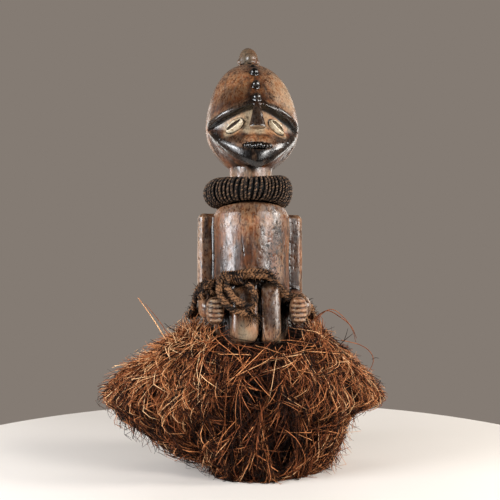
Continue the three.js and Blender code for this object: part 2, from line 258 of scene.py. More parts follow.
def corners(piece: Piece) -> Array:
    """A piece's vertices as rows of numbers."""
    flat = np.empty(len(piece.data.vertices) * 3)
    piece.data.vertices.foreach_get("co", flat)
    return flat.reshape(-1, 3)


def put_corners(piece: Piece, points: Array) -> None:
    """Moves a piece's vertices to these places."""
    piece.data.vertices.foreach_set("co", points.astype(np.float32).ravel())
    piece.data.update()


def normals(piece: Piece) -> Array:
    """A piece's vertex normals as rows of numbers."""
    flat = np.empty(len(piece.data.vertices) * 3)
    piece.data.vertex_normals.foreach_get("vector", flat)
    return flat.reshape(-1, 3)


def tag(piece: Piece, name: str, values: Array) -> None:
    """Writes one number from 0 to 1 for each vertex, which the finish reads by name."""
    layer = piece.data.attributes.new(name, "FLOAT", "POINT")
    layer.data.foreach_set("value", np.clip(values, 0, 1).astype(np.float32))


def neighbour_mean(piece: Piece, values: Array, rounds: int) -> Array:
    """Spreads values over a mesh, each vertex taking the mean of its neighbours.

    Args:
        piece: The mesh object.
        values: Rows of numbers, one for each vertex.
        rounds: How often.

    Returns:
        The evened rows.
    """
    flat = np.empty(len(piece.data.edges) * 2, dtype=np.int64)
    piece.data.edges.foreach_get("vertices", flat)
    a, b = flat[0::2], flat[1::2]
    count = len(values)
    links = np.bincount(a, minlength=count) + np.bincount(b, minlength=count)
    links = np.maximum(links, 1)[:, None]
    for _ in range(rounds):
        total = np.stack(
            [
                np.bincount(a, values[b, k], count) + np.bincount(b, values[a, k], count)
                for k in range(values.shape[1])
            ],
            axis=1,
        )
        values = 0.4 * values + 0.6 * total / links
    return values


def modify(piece: Piece, kind: str, **settings: object) -> None:
    """Adds a modifier of a kind with its settings and applies it."""
    pick(piece)
    modifier = piece.modifiers.new(kind.lower(), kind)
    for name, value in settings.items():
        setattr(modifier, name, value)
    bpy.ops.object.modifier_apply(modifier=modifier.name)


def start(form: Callable, **sizes: object) -> Piece:
    """A new piece from one of Blender's own forms, the only one selected."""
    bpy.ops.object.select_all(action="DESELECT")
    form(**sizes)
    return bpy.context.object


def bevel_edges(*cuts: tuple[float, int]) -> None:
    """Settles the new piece's place, then bevels all its edges, once for each width and number of steps."""
    bpy.ops.object.transform_apply(location=True, rotation=True, scale=True)
    bpy.ops.object.mode_set(mode="EDIT")
    for width, steps in cuts:
        bpy.ops.mesh.select_all(action="SELECT")
        bpy.ops.mesh.bevel(offset=width, segments=steps, affect="EDGES")
    bpy.ops.object.mode_set(mode="OBJECT")


def face_outwards(piece: Piece) -> None:
    """Turns every face of a closed piece outwards."""
    pick(piece)
    bpy.ops.object.mode_set(mode="EDIT")
    bpy.ops.mesh.select_all(action="SELECT")
    bpy.ops.mesh.normals_make_consistent(inside=False)
    bpy.ops.object.mode_set(mode="OBJECT")


def ball(segments: int, rings: int) -> Piece:
    """A round ball of radius one at the origin; a dense one is divided from a coarser one to save time."""
    fine = 2 if segments >= DENSE_BALL else 0
    made = start(bpy.ops.mesh.primitive_uv_sphere_add, segments=segments >> fine, ring_count=rings >> fine)
    if fine:
        modify(made, "SUBSURF", subdivision_type="SIMPLE", levels=fine, render_levels=fine)
        put_corners(made, unit(corners(made)))
    return made


@dataclass(frozen=True)
class Lump:
    """A rounded form: an ellipsoid, squared off where its power is above 2, turned and put in its place."""

    at: Triple
    half: Triple
    power: float = 2
    turn: Triple = (0, 0, 0)

    def build(self, segments: int = 40, rings: int = 28) -> Piece:
        """Models the form from a ball.

        Args:
            segments: Columns of faces round it.
            rings: Rows of faces from pole to pole.

        Returns:
            The new object, in millimetres.
        """
        made = ball(segments, rings)
        points = corners(made)
        size = (np.abs(points) ** self.power).sum(axis=1) ** (1 / self.power)
        points = points / size[:, None] * self.half
        put_corners(made, points @ turn_matrix(self.turn).T + self.at)
        return made


def net(segments: int, rings: int, place: Callable, crowding: float = 0) -> Piece:
    """Lays a ball's net over a form of our own.

    Args:
        segments: Columns of faces round the form.
        rings: Rows of faces from the top to the foot.
        place: Takes angles and shares of the way from top to foot and returns points.
        crowding: Draws the columns together at the front.

    Returns:
        The new object, in millimetres.
    """
    made = ball(segments, rings)
    points = corners(made)
    even = np.arctan2(points[:, 0], -points[:, 1])
    share = np.arccos(np.clip(points[:, 2], -1, 1)) / math.pi
    angle = even - crowding * np.sin(even)
    put_corners(made, place(angle, share))
    return made


def tubes(name: str, paths: Array, radii: Array, sides: int, closed: bool = False) -> Piece:
    """One mesh of many thin tubes, written straight into the mesh because there are thousands of them.

    Args:
        name: The object's name.
        paths: Centre lines, as tube by point by coordinate.
        radii: Radius at each point of each tube.
        sides: Faces round a tube.
        closed: True if each tube's ends meet; otherwise its ends are capped.

    Returns:
        The new object.
    """
    count, steps, _ = paths.shape
    tangent = tangents(paths, closed)
    first = tangent[:, 0]
    helper = np.where(np.abs(first[:, 2:3]) > 0.8, [[1, 0, 0]], [[0, 0, 1]])
    side = np.empty_like(paths)
    last = unit(np.cross(first, helper))
    for i in range(steps):
        last = unit(last - tangent[:, i] * (last * tangent[:, i]).sum(axis=1, keepdims=True))
        side[:, i] = last
    rise = np.cross(tangent, side)
    around = np.arange(sides) / sides * TURN
    ring = side[:, :, None] * np.cos(around)[:, None] + rise[:, :, None] * np.sin(around)[:, None]
    points = paths[:, :, None] + ring * radii[:, :, None, None]
    index = np.arange(count * steps * sides).reshape(count, steps, sides)
    spans = steps if closed else steps - 1
    near = index[:, np.arange(spans)]
    far = index[:, (np.arange(spans) + 1) % steps]
    quads = np.stack([near, np.roll(near, -1, axis=2), np.roll(far, -1, axis=2), far], axis=-1).reshape(-1, 4)
    caps = np.empty((0, sides), dtype=np.int64)
    if not closed:
        caps = np.vstack([index[:, 0, ::-1], index[:, -1]])
    mesh = bpy.data.meshes.new(name)
    mesh.vertices.add(points.size // 3)
    mesh.vertices.foreach_set("co", points.astype(np.float32).ravel())
    loops = np.concatenate([quads.ravel(), caps.ravel()])
    starts = np.concatenate([np.arange(len(quads)) * 4, quads.size + np.arange(len(caps)) * sides])
    mesh.loops.add(len(loops))
    mesh.loops.foreach_set("vertex_index", loops.astype(np.int32))
    mesh.polygons.add(len(starts))
    mesh.polygons.foreach_set("loop_start", starts.astype(np.int32))
    mesh.update(calc_edges=True)
    made = bpy.data.objects.new(name, mesh)
    bpy.context.scene.collection.objects.link(made)
    return made


def fuse(name: str, parts: list) -> Piece:
    """Joins objects into one and names it."""
    pick(*parts)
    if len(parts) > 1:
        bpy.ops.object.join()
    made = bpy.context.view_layer.objects.active
    made.name = name
    made.data.name = name
    return made


def finish_piece(piece: Piece, finish: "Finish", node: str, sharp: float) -> Piece:
    """Brings a piece to metres, smooths and dresses it, attaches it to the root body and hides the CAD part
    that it stands for.

    Args:
        piece: The finished mesh object, in millimetres.
        finish: What it is made of.
        node: The CAD node that it stands for.
        sharp: Edges sharper than this many degrees stay sharp.

    Returns:
        The same object.
    """
    put_corners(piece, corners(piece) * MM)
    pick(piece)
    bpy.ops.object.shade_smooth_by_angle(angle=math.radians(sharp))
    piece.data.materials.clear()
    piece.data.materials.append(finish.material())
    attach(piece, "root")
    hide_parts(node)
    log.info("%s: %d faces", piece.name, len(piece.data.polygons))
    return piece


# Finishes.


def tone(red: float, green: float, blue: float) -> Colour:
    """A colour given as 0 to 255 on a screen, as linear light."""
    shares = (red / 255, green / 255, blue / 255)
    return (*(v / 12.92 if v <= 0.04 else ((v + 0.055) / 1.055) ** 2.4 for v in shares), 1)


def add_node(tree: bpy.types.NodeTree, kind: str, sockets: dict, **settings: object) -> bpy.types.Node:
    """Adds a node to a tree.

    Args:
        tree: The tree.
        kind: Its type, without the words that all the types begin with.
        sockets: What each of its inputs takes: another node's socket, or a plain value.
        settings: The node's own settings.

    Returns:
        The new node.
    """
    made = tree.nodes.new(f"ShaderNode{kind}")
    for name, value in settings.items():
        setattr(made, name, value)
    for key, value in sockets.items():
        if isinstance(value, Socket):
            tree.links.new(value, made.inputs[key])
        else:
            made.inputs[key].default_value = value
    return made


class Bench:
    """Puts one material's nodes together."""

    def __init__(self, name: str) -> None:
        """Starts an empty material, whose patterns follow the object's own coordinates."""
        self.material = bpy.data.materials.new(name)
        self.material.use_nodes = True
        self.tree = self.material.node_tree
        self.tree.nodes.clear()
        self.place = self.node("TexCoord", {}).outputs["Object"]

    def node(self, kind: str, sockets: dict, **settings: object) -> bpy.types.Node:
        """Adds a node to this material."""
        return add_node(self.tree, kind, sockets, **settings)

    def noise(
        self, scale: float, detail: float, roughness: float, stretch: tuple = (1, 1, 1), warp: float = 0
    ) -> Socket:
        """Cloudy noise.

        Args:
            scale: Patches to a metre.
            detail: How many finer layers.
            roughness: How strong the finer layers are.
            stretch: How much closer together the pattern is along each axis.
            warp: How much it is distorted.

        Returns:
            A socket from 0 to 1.
        """
        place = self.node("Mapping", {"Vector": self.place, "Scale": stretch}).outputs[0]
        layers = {"Scale": scale, "Detail": detail, "Roughness": roughness, "Distortion": warp}
        return self.node("TexNoise", {"Vector": place, **layers}).outputs["Fac"]

    def worn(self, name: str) -> Socket:
        """A number that was tagged on the mesh."""
        return self.node("Attribute", {}, attribute_name=name).outputs["Fac"]

    def span(
        self, value: Socket, low: float, high: float, to_low: float = 0, to_high: float = 1
    ) -> Socket:
        """Maps low..high smoothly onto another range."""
        ends = {"From Min": low, "From Max": high, "To Min": to_low, "To Max": to_high}
        made = self.node("MapRange", {"Value": value, **ends}, interpolation_type="SMOOTHSTEP")
        return made.outputs["Result"]

    def reckon(self, operation: str, first: object, second: object) -> Socket:
        """One sum of two numbers, kept between 0 and 1."""
        return self.node("Math", {0: first, 1: second}, operation=operation, use_clamp=True).outputs[0]

    def plus(self, first: object, second: object) -> Socket:
        """Two numbers added."""
        return self.reckon("ADD", first, second)

    def minus(self, first: object, second: object) -> Socket:
        """The second number taken from the first."""
        return self.reckon("SUBTRACT", first, second)

    def times(self, first: object, second: object) -> Socket:
        """Two numbers multiplied."""
        return self.reckon("MULTIPLY", first, second)

    def larger(self, first: object, second: object) -> Socket:
        """The larger of two numbers."""
        return self.reckon("MAXIMUM", first, second)

    def mix(self, share: object, first: object, second: object) -> Socket:
        """Mixes two colours."""
        return self.node("Mix", {0: share, 6: first, 7: second}, data_type="RGBA").outputs[2]

    def ramp(self, value: Socket, stops: list) -> Socket:
        """Colours laid out along a value.

        Args:
            value: What picks the colour.
            stops: Pairs of place and colour.

        Returns:
            The colour's socket.
        """
        made = self.node("ValToRGB", {0: value})
        elements = made.color_ramp.elements
        while len(elements) < len(stops):
            elements.new(0.5)
        for element, (place, colour) in zip(elements, stops):
            element.position = place
            element.color = colour
        return made.outputs["Color"]

    def bump(self, height: Socket, strength: object, depth: float, under: dict) -> dict:
        """A bump, its depth in millimetres.

        Args:
            height: The pattern.
            strength: How strongly it shows.
            depth: How deep it is.
            under: The bump that it lies on, as this method returns it, or an empty dict.

        Returns:
            The socket, under the name of the input that takes it.
        """
        sockets = {"Height": height, "Strength": strength, "Distance": depth * MM, **under}
        return {"Normal": self.node("Bump", sockets).outputs[0]}

    def close(self, colour: object, roughness: object, **plain: object) -> Material:
        """Adds the shader and hands the material over.

        Args:
            colour: Base colour.
            roughness: Roughness.
            plain: What other inputs take, by name with _ for a space.

        Returns:
            The material.
        """
        named = {name.replace("_", " "): value for name, value in plain.items()}
        shader = self.node("BsdfPrincipled", {"Base Color": colour, "Roughness": roughness, **named})
        self.node("OutputMaterial", {0: shader.outputs[0]})
        return self.material


@dataclass(frozen=True)
class Finish:
    """What a piece is made of, and the record's slot for it."""

    name: str
    slot: Slot | None = None

    def material(self) -> Material:
        """The finish's material, made once."""
        return bpy.data.materials.get(self.name) or self.make(Bench(self.name))

    def make(self, bench: Bench) -> Material:
        """Lays out the nodes of the finish."""
        raise NotImplementedError


@dataclass(frozen=True)
class PatinatedWood(Finish):
    """Old carved wood: oiled and worn, black resin on the high places, pale clay in the hollows, dirt and
    painted shade in the deep places.
    """

    name: str = "rubbed_old_wood"
    slot: Slot = Slot.WOOD
    dark: tuple = tone(26, 15, 10)
    brown: tuple = tone(66, 38, 25)
    rust: tuple = tone(112, 62, 30)
    # Pale worn tone, also used to paint the sheen of lit sides.
    rubbed_and_sheen: tuple = tone(158, 122, 92)
    resin: tuple = tone(14, 11, 10)
    clay: tuple = tone(184, 164, 134)
    ochre: tuple = tone(160, 114, 74)
    # Near black, for dirt, dark flecks and painted shade.
    grime: tuple = tone(9, 6, 4)

    def make(self, bench: Bench) -> Material:
        """Mottles the wood, then lays pale wear with some painted sheen, clay, dirt with painted shade, resin
        and flecks over it.

        Args:
            bench: Where the nodes are put together.

        Returns:
            The material.
        """
        clouds = bench.noise(38, 5, 0.62, (1, 1, 0.5))
        streaks = bench.noise(150, 4, 0.6, (1, 1, 0.16), 0.4)
        specks = bench.noise(420, 3, 0.6, (1, 1, 0.45))
        scratches = bench.noise(900, 2, 0.5, (1, 1, 0.07))
        dull_patches = bench.noise(85, 4, 0.65, (1, 1, 0.5), 0.8)
        speckle = bench.noise(240, 4, 0.66, (1, 1, 0.7), 1.2)
        grime, scars = bench.worn("grime"), bench.worn("scars")

        wood = bench.ramp(clouds, [(0.34, self.dark), (0.47, self.brown), (0.62, self.rust)])
        wood = bench.mix(bench.span(streaks, 0.42, 0.7, 0, 0.7), wood, self.dark)
        warm = bench.times(bench.worn("warm"), bench.span(streaks, 0.62, 0.4))
        wood = bench.mix(warm, wood, bench.mix(bench.span(specks, 0.4, 0.6), self.rust, self.ochre))
        # Pale wear on the edges and in patches; the patches on the +X side of the dome and on the outer face
        # of the -X arm are partly painted sheen of lit sides.
        wood = bench.mix(bench.times(bench.worn("wear_and_sheen"), bench.span(specks, 0.36, 0.6)), wood, self.rubbed_and_sheen)
        wood = bench.mix(bench.span(specks, 0.52, 0.7, 0, 0.55), wood, self.grime)
        clay = bench.times(bench.worn("clay"), bench.span(specks, 0.68, 0.42, 0.35, 1))
        wood = bench.mix(clay, wood, bench.mix(bench.span(clouds, 0.4, 0.62), self.clay, self.ochre))
        # Dirt in the hollows, and painted shade: under the brow, in the cleft, under the rope, beside the
        # fists, between the fingers and in the grooves by the arms.
        wood = bench.mix(grime, wood, self.grime)
        resin = bench.times(bench.worn("resin"), bench.span(streaks, 0.72, 0.5, 0.72, 1))
        wood = bench.mix(resin, wood, self.resin)
        scarred = bench.larger(bench.span(clouds, 0.58, 0.44, 0.1, 0.7), scars)
        flecks = bench.times(bench.span(bench.plus(speckle, bench.times(scars, 0.07)), 0.55, 0.68), scarred)
        wood = bench.mix(flecks, wood, self.grime)

        dulled = bench.span(dull_patches, 0.44, 0.66, 0, 0.3)
        dulled = bench.times(dulled, bench.minus(1, bench.times(resin, 0.9)))
        roughness = bench.plus(bench.span(specks, 0.3, 0.7, 0.26, 0.4), dulled)
        roughness = bench.minus(roughness, bench.times(resin, 0.1))
        roughness = bench.plus(roughness, bench.times(clay, 0.28))
        roughness = bench.minus(roughness, bench.times(grime, 0.16))
        roughness = bench.plus(roughness, bench.times(flecks, 0.3))

        relief = bench.span(bench.larger(bench.worn("resin"), grime), 0, 1, 0.28, 0.08)
        normal = bench.bump(streaks, relief, 0.9, {})
        normal = bench.bump(specks, relief, 0.5, normal)
        normal = bench.bump(scratches, 0.22, 0.25, normal)
        return bench.close(wood, roughness, IOR=1.56, **normal)


@dataclass(frozen=True)
class CowrieShellFinish(Finish):
    """Worn cowrie shell, darker in its slit."""

    name: str = "worn_cowrie"
    slot: Slot = Slot.SHELL
    shell: tuple = tone(214, 199, 172)
    stained: tuple = tone(148, 124, 94)
    slit: tuple = tone(44, 31, 22)

    def make(self, bench: Bench) -> Material:
        """Stains the shell and darkens the slit."""
        stains = bench.noise(260, 4, 0.6)
        colour = bench.mix(bench.span(stains, 0.42, 0.68), self.shell, self.stained)
        colour = bench.mix(bench.worn("slit"), colour, self.slit)
        roughness = bench.plus(bench.span(stains, 0.3, 0.7, 0.22, 0.42), bench.worn("slit"))
        return bench.close(colour, roughness, **bench.bump(stains, 0.2, 0.3, {}))


@dataclass(frozen=True)
class DarkCord(Finish):
    """Black-brown twisted cord, with painted highlights on its high places and painted shade in its gaps."""

    name: str = "wound_dark_cord"
    slot: Slot = Slot.CORD
    # Painted shade in the gaps, the cord's own brown, and painted highlight on the tops.
    low: tuple = tone(2, 2, 2)
    middle: tuple = tone(38, 27, 20)
    high: tuple = tone(120, 92, 69)

    def make(self, bench: Bench) -> Material:
        """Paints shade into the gaps, and highlights on the tops of the plies."""
        hairs = bench.noise(700, 3, 0.6, (1, 1, 0.5))
        lit = bench.plus(bench.worn("top"), bench.span(hairs, 0.3, 0.7, -0.4, 0.2))
        colour = bench.ramp(lit, [(0.3, self.low), (0.62, self.middle), (1, self.high)])
        return bench.close(colour, 0.68, Specular_IOR_Level=0.22, **bench.bump(hairs, 0.6, 0.5, {}))


@dataclass(frozen=True)
class PlantRope(Finish):
    """Fuzzy rope of plant fibre, brown, with painted highlights on its high places and painted shade between
    its plies.
    """

    name: str = "laid_plant_rope"
    slot: Slot = Slot.ROPE
    # Painted shade, the rope's own brown, and painted highlight.
    low: tuple = tone(3, 2, 2)
    middle: tuple = tone(42, 27, 18)
    high: tuple = tone(128, 91, 62)

    def make(self, bench: Bench) -> Material:
        """Colours each ply by its own tone, with painted light on its high places and painted shade low
        between the plies.
        """
        hairs = bench.noise(520, 4, 0.65)
        patches = bench.noise(60, 3, 0.6)
        lit = bench.plus(bench.worn("top"), bench.span(hairs, 0.3, 0.7, -0.42, 0.3))
        lit = bench.plus(lit, bench.span(patches, 0.35, 0.65, -0.26, 0.2))
        colour = bench.ramp(lit, [(0.3, self.low), (0.66, self.middle), (1, self.high)])
        return bench.close(colour, 0.74, Specular_IOR_Level=0.15, **bench.bump(hairs, 0.8, 0.7, {}))


@dataclass(frozen=True)
class RootFibre(Finish):
    """Fine root fibre from near black through rust to golden tan, each strand with a tone of its own; the
    near black end is painted shade for the core and the deepest fibres.
    """

    name: str = "root_fibre_strands"
    slot: Slot = Slot.FIBRE
    # Near black: painted shade deep in the bush.
    black: tuple = tone(3, 2, 1)
    dark: tuple = tone(46, 23, 13)
    rust: tuple = tone(136, 75, 43)
    tan: tuple = tone(204, 136, 86)
    straw: tuple = tone(238, 194, 146)

    def make(self, bench: Bench) -> Material:
        """Looks the strand's tone up in a run of browns."""
        mottle = bench.noise(220, 3, 0.6)
        strand = bench.plus(bench.worn("strand"), bench.span(mottle, 0.3, 0.7, -0.1, 0.1))
        browns = [(0, self.black), (0.25, self.dark), (0.5, self.rust), (0.78, self.tan), (1, self.straw)]
        return bench.close(bench.ramp(strand, browns), 0.6, Specular_IOR_Level=0.12)


@dataclass(frozen=True)
class FloorPaint(Finish):
    """Plain pale matt floor."""

    name: str = "pale_floor"
    paint: tuple = tone(214, 208, 202)
    scuffed: tuple = tone(190, 184, 178)

    def make(self, bench: Bench) -> Material:
        """One pale paint with the faintest unevenness."""
        uneven = bench.span(bench.noise(6, 2, 0.5), 0.3, 0.7, 0, 0.04)
        return bench.close(bench.mix(uneven, self.paint, self.scuffed), 0.8)


# The carved figure.


@dataclass(frozen=True)
class Cowrie:
    """Where a shell lies and how large it is."""

    side: Side
    half: Triple = (13.0, 5.0, 6.8)
    out: float = 27.0
    forward: float = -42.0
    height: float = 433.0
    level: float = 14.0

    @property
    def at(self) -> Array:
        """The shell's middle."""
        return np.array([self.side.value * self.out, self.forward, self.height])

    @property
    def turn(self) -> Array:
        """The matrix from the shell's own axes to the figure's."""
        side = self.side.value
        return turn_matrix((0.1, side * math.radians(37), side * math.radians(24)))

    def own(self, points: Array) -> Array:
        """Points in the shell's own axes: length, depth, width."""
        return (points - self.at) @ self.turn

    def back(self, points: Array) -> Array:
        """Points brought back from the shell's own axes."""
        return points @ self.turn.T + self.at

    def ring(self, own: Array) -> Array:
        """How far out points in the shell's own axes lie, 1 at its edge."""
        return np.sqrt((own[:, 0] / self.half[0]) ** 2 + (own[:, 2] / self.half[2]) ** 2)

    def near(self, own: Array) -> Array:
        """Whether points in the shell's own axes lie level with it."""
        return np.abs(own[:, 1]) < self.level


@dataclass
class Head:
    """The head: an egg-shaped dome over a hollowed face, whose brow and jaw meet at the temples."""

    apex: float = 531.0
    widest: float = 439.5
    bottom: float = 386.0
    right_half: float = 60.3
    left_half: float = 63.2
    front: float = 57.0
    back: float = 58.0
    crown_lean: float = 15.0
    brow_top: float = 460.0
    brow_drop: float = 24.0
    brow_lip: float = 2.4
    chin: float = 377.0
    rim_rise: float = 54.0
    corner: float = math.radians(82)
    neck: float = 28.0
    mouth_at: Pair = (0.0, 405.0)
    mouth_half: Pair = (18.0, 4.8)
    mouth_depth: float = 6.5
    nose_at: Triple = (0.0, -56.5, 446.5)
    nose_lean: float = math.radians(5)
    nose_half: Pair = (12.4, 3.2)
    nose_length: float = 38.0
    knot_top: float = 557.0
    knot_at: Pair = (-2.0, 14.0)
    profile: tuple = (
        (0, 57.5), (0.05, 47.5), (0.18, 45.5), (0.36, 46.5), (0.48, 51),
        (0.58, 57), (0.68, 61), (0.79, 62.5), (0.91, 61), (1, 56),
    )
    studs: tuple = ((468, 54, 5.6), (487.5, 45.5, 5.2), (508, 31, 5.4), (521, 16, 2.6))

    def skull_share(self, z: Array) -> Array:
        """How wide the skull is at a height, as a share of its widest section."""
        rise = np.clip((z - self.widest) / (self.apex - self.widest), 0, 1)
        fall = np.clip((self.widest - z) / 54, 0, 1)
        return np.where(rise > 0, (1 - rise**1.7) ** 0.4, 1 - 0.54 * fall**2.2)

    def skull_radius(self, angle: Array, z: Array) -> Array:
        """The dome's distance from the axis."""
        depth = np.where(np.cos(angle) > 0, self.front, self.back)
        width = np.where(np.sin(angle) > 0, self.left_half, self.right_half)
        round_share = 1 / np.hypot(np.sin(angle) / width, np.cos(angle) / depth)
        radius = round_share * self.skull_share(z)
        return np.where(z < self.widest, np.maximum(self.neck, radius), radius)

    def lean(self, z: Array) -> Array:
        """How far back the crown has leaned at a height."""
        rise = np.clip((z - self.widest) / (self.apex - self.widest), 0, 1)
        return self.crown_lean * rise**1.4

    def outwards(self, angle: Array) -> Array:
        """How far out an angle lies between the middle of the face and its corner."""
        return np.sin(np.minimum(np.abs(angle), self.corner)) / math.sin(self.corner)

    def face_share(self, angle: Array) -> Array:
        """How much of the face's own profile shows at an angle."""
        share = np.maximum(0, np.cos(angle * math.pi / 2 / self.corner)) ** 0.75
        return share * (np.abs(angle) < self.corner)

    def brow(self, angle: Array) -> Array:
        """Height of the brow's edge."""
        return self.brow_top - self.brow_drop * self.outwards(angle) ** 1.4

    def rim(self, angle: Array) -> Array:
        """Height of the jaw's rim."""
        behind = 28 * eased(self.corner, self.corner + 0.6, np.abs(angle))
        climb = blend(self.outwards(angle) ** 8, self.outwards(angle) ** 1.2, 0.62)
        return self.chin + self.rim_rise * climb - behind

    def face_radius(self, share: Array) -> Array:
        """The face's profile at the middle, rounded between its measured places."""
        fine = np.linspace(0, 1, 401)
        known = np.asarray(self.profile)
        radius = np.interp(fine, known[:, 0], known[:, 1])
        width = 13
        soft = np.convolve(np.pad(radius, width, mode="edge"), np.hanning(2 * width + 1), "valid")
        soft = soft / np.hanning(2 * width + 1).sum()
        keep = eased(0.05, 0.1, fine)
        return np.interp(share, fine, radius * (1 - keep) + soft * keep)

    def place(self, angle: Array, share: Array) -> Array:
        """Where a point of the net lies on the head.

        Args:
            angle: Angle from the front.
            share: Share of the way from the apex to the neck, over dome, face and jaw.

        Returns:
            The points, in millimetres.
        """
        row = np.interp(share, [0, 0.38, 0.40, 0.84, 0.97, 1], [0, 8, 9, 18, 21, 22])
        brow, rim, face = self.brow(angle), self.rim(angle), self.face_share(angle)
        edge = brow + 3.5
        dome_z = edge + (self.apex - edge) * np.cos(np.minimum(row, 8) / 8 * math.pi / 2)
        lip = self.brow_lip * face * eased(7.2, 8, row)
        dome = polar(angle, self.skull_radius(angle, dome_z) + lip, dome_z)
        dome[:, 1] += self.lean(dome_z)
        known = np.asarray(self.profile)
        down = np.interp(np.clip(row, 9, 18) - 9, np.arange(len(known)), known[:, 0])
        face_z = blend(brow, rim, down)
        hollow = polar(angle, blend(self.skull_radius(angle, face_z), self.face_radius(down), face), face_z)
        jaw = np.clip((row - 18) / 3, 0, 1)
        under_z = blend(rim, self.bottom, jaw)
        chin = blend(known[-1, 1], self.neck, jaw)
        under = polar(angle, blend(self.skull_radius(angle, under_z), chin, face), under_z)
        close = (np.clip(row, 21, 22) - 21)[:, None]
        under = under * (1 - close) + np.array([0, 0, self.bottom - 2]) * close
        step = np.clip(row - 8, 0, 1)[:, None]
        points = np.where(row[:, None] < 9, dome * (1 - step) + hollow * step, hollow)
        return np.where(row[:, None] > 18, under, points)

    def cut_features(self, points: Array, eyes: list) -> Array:
        """Presses the mouth and the eye sockets into the face, and raises a rim of resin round each shell.

        Args:
            points: Points of the head.
            eyes: The two cowries.

        Returns:
            The moved points.
        """
        points = points.copy()
        x, z = points[:, 0] - self.mouth_at[0], points[:, 2] - self.mouth_at[1]
        inside = 1 - np.abs(x / self.mouth_half[0]) ** 1.5 - (z / self.mouth_half[1]) ** 2
        front = points[:, 1] < -35
        points[:, 1] += np.where(front, self.mouth_depth * np.sqrt(np.clip(inside, 0, 1)), 0)
        for eye in eyes:
            own = eye.own(points)
            ring, near = eye.ring(own), front & eye.near(own)
            floor = np.maximum(own[:, 1], 1.2)
            own[:, 1] = np.where(near & (ring < 0.98), floor, own[:, 1])
            raised = 1.7 * np.exp(-(((ring - 1.16) / 0.13) ** 2))
            own[:, 1] = np.where(near, own[:, 1] - raised, own[:, 1])
            points = eye.back(own)
        return points

    def build(self, eyes: list) -> list:
        """Models the parts of the head, each closed, to be made one skin later.

        Args:
            eyes: The two cowries, for their sockets.

        Returns:
            The parts.
        """
        skull = net(320, 300, self.place, 0.3)
        put_corners(skull, self.cut_features(corners(skull), eyes))
        parts = [skull, self.nose(), *self.topknot()]
        parts += [Lump((0, -y, z), (r, r, r)).build(28, 20) for z, y, r in self.studs]
        parts.append(self.crest_line())
        return parts

    def nose(self) -> Piece:
        """A long wedge from the lowest stud down to a flat underside, its edges chamfered."""
        foot, tip = self.nose_half
        eighth = math.radians(22.5)
        cone = {"vertices": 8, "radius1": foot, "radius2": tip, "depth": self.nose_length}
        made = start(bpy.ops.mesh.primitive_cone_add, rotation=(0, 0, eighth), **cone)
        bevel_edges((1.7, 3))
        points = corners(made) * (0.96, 0.66, 1)
        put_corners(made, points @ turn_matrix((-self.nose_lean, 0, 0)).T + self.nose_at)
        return made

    def crest_line(self) -> Piece:
        """The thin raised line of resin that joins the studs."""
        heights = np.linspace(522, 460, 40)
        front = self.skull_radius(np.zeros(40), heights)
        line = np.stack([0 * heights, -front + self.lean(heights) + 0.3, heights], axis=1)
        return tubes("crest_line", line[None], np.full((1, 40), 0.9), 8)

    def topknot(self) -> list:
        """A knob with a blunt point, ringed by small beads, with a big bead in front."""
        top = self.knot_top
        right, back = self.knot_at
        outline = np.array([(0, 0), (4.9, 2), (9.6, 6), (12.4, 11), (13.4, 16), (13.6, 36), (0, 38)])

        def knob(angle: Array, share: Array) -> Array:
            """The knob, slightly ridged."""
            drop = share * 38
            radius = np.interp(drop, outline[:, 1], outline[:, 0])
            points = polar(angle, radius * (1 + 0.03 * np.sin(5 * angle)), top - drop)
            return points + (right, back, 0)

        parts = [net(48, 60, knob)]
        rings = ((13.2, 20, 7, 3), (13.4, 28, 9, 2.6), (10.6, 11, 5, 2))
        for radius, drop, count, bead in rings:
            for i in range(count):
                angle = (i + 0.5) / count * TURN
                x, y, z = polar(np.array(angle), np.array(radius), np.array(top - drop - 1.5 * (i % 2)))
                if drop < 25 and abs(x) < 9 and y < 0:
                    continue
                parts.append(Lump((x + right, y + back, z), (bead, bead, bead * 1.12)).build(16, 12))
        parts.append(Lump((right + 2, back - 9.5, top - 18), (7, 6.4, 6.6)).build(28, 20))
        parts.append(Lump((right, back, top - 2.2), (2.2, 2.2, 2.2)).build(20, 14))
        return parts

    def teeth(self) -> list:
        """A row of round black pegs inside the mouth."""
        pegs = []
        for i in range(8):
            x = (i - 3.5) * 4.3
            size = 2.7 + 0.25 * math.sin(i * 2.1)
            lift = 0.8 * math.sin(i * 1.9 + 0.5) - 0.8
            y = -63.6 + x * x * 0.018
            pegs.append(Lump((x, y, self.mouth_at[1] + lift), (size, 2.8, size * 1.25)).build(20, 14))
        return pegs


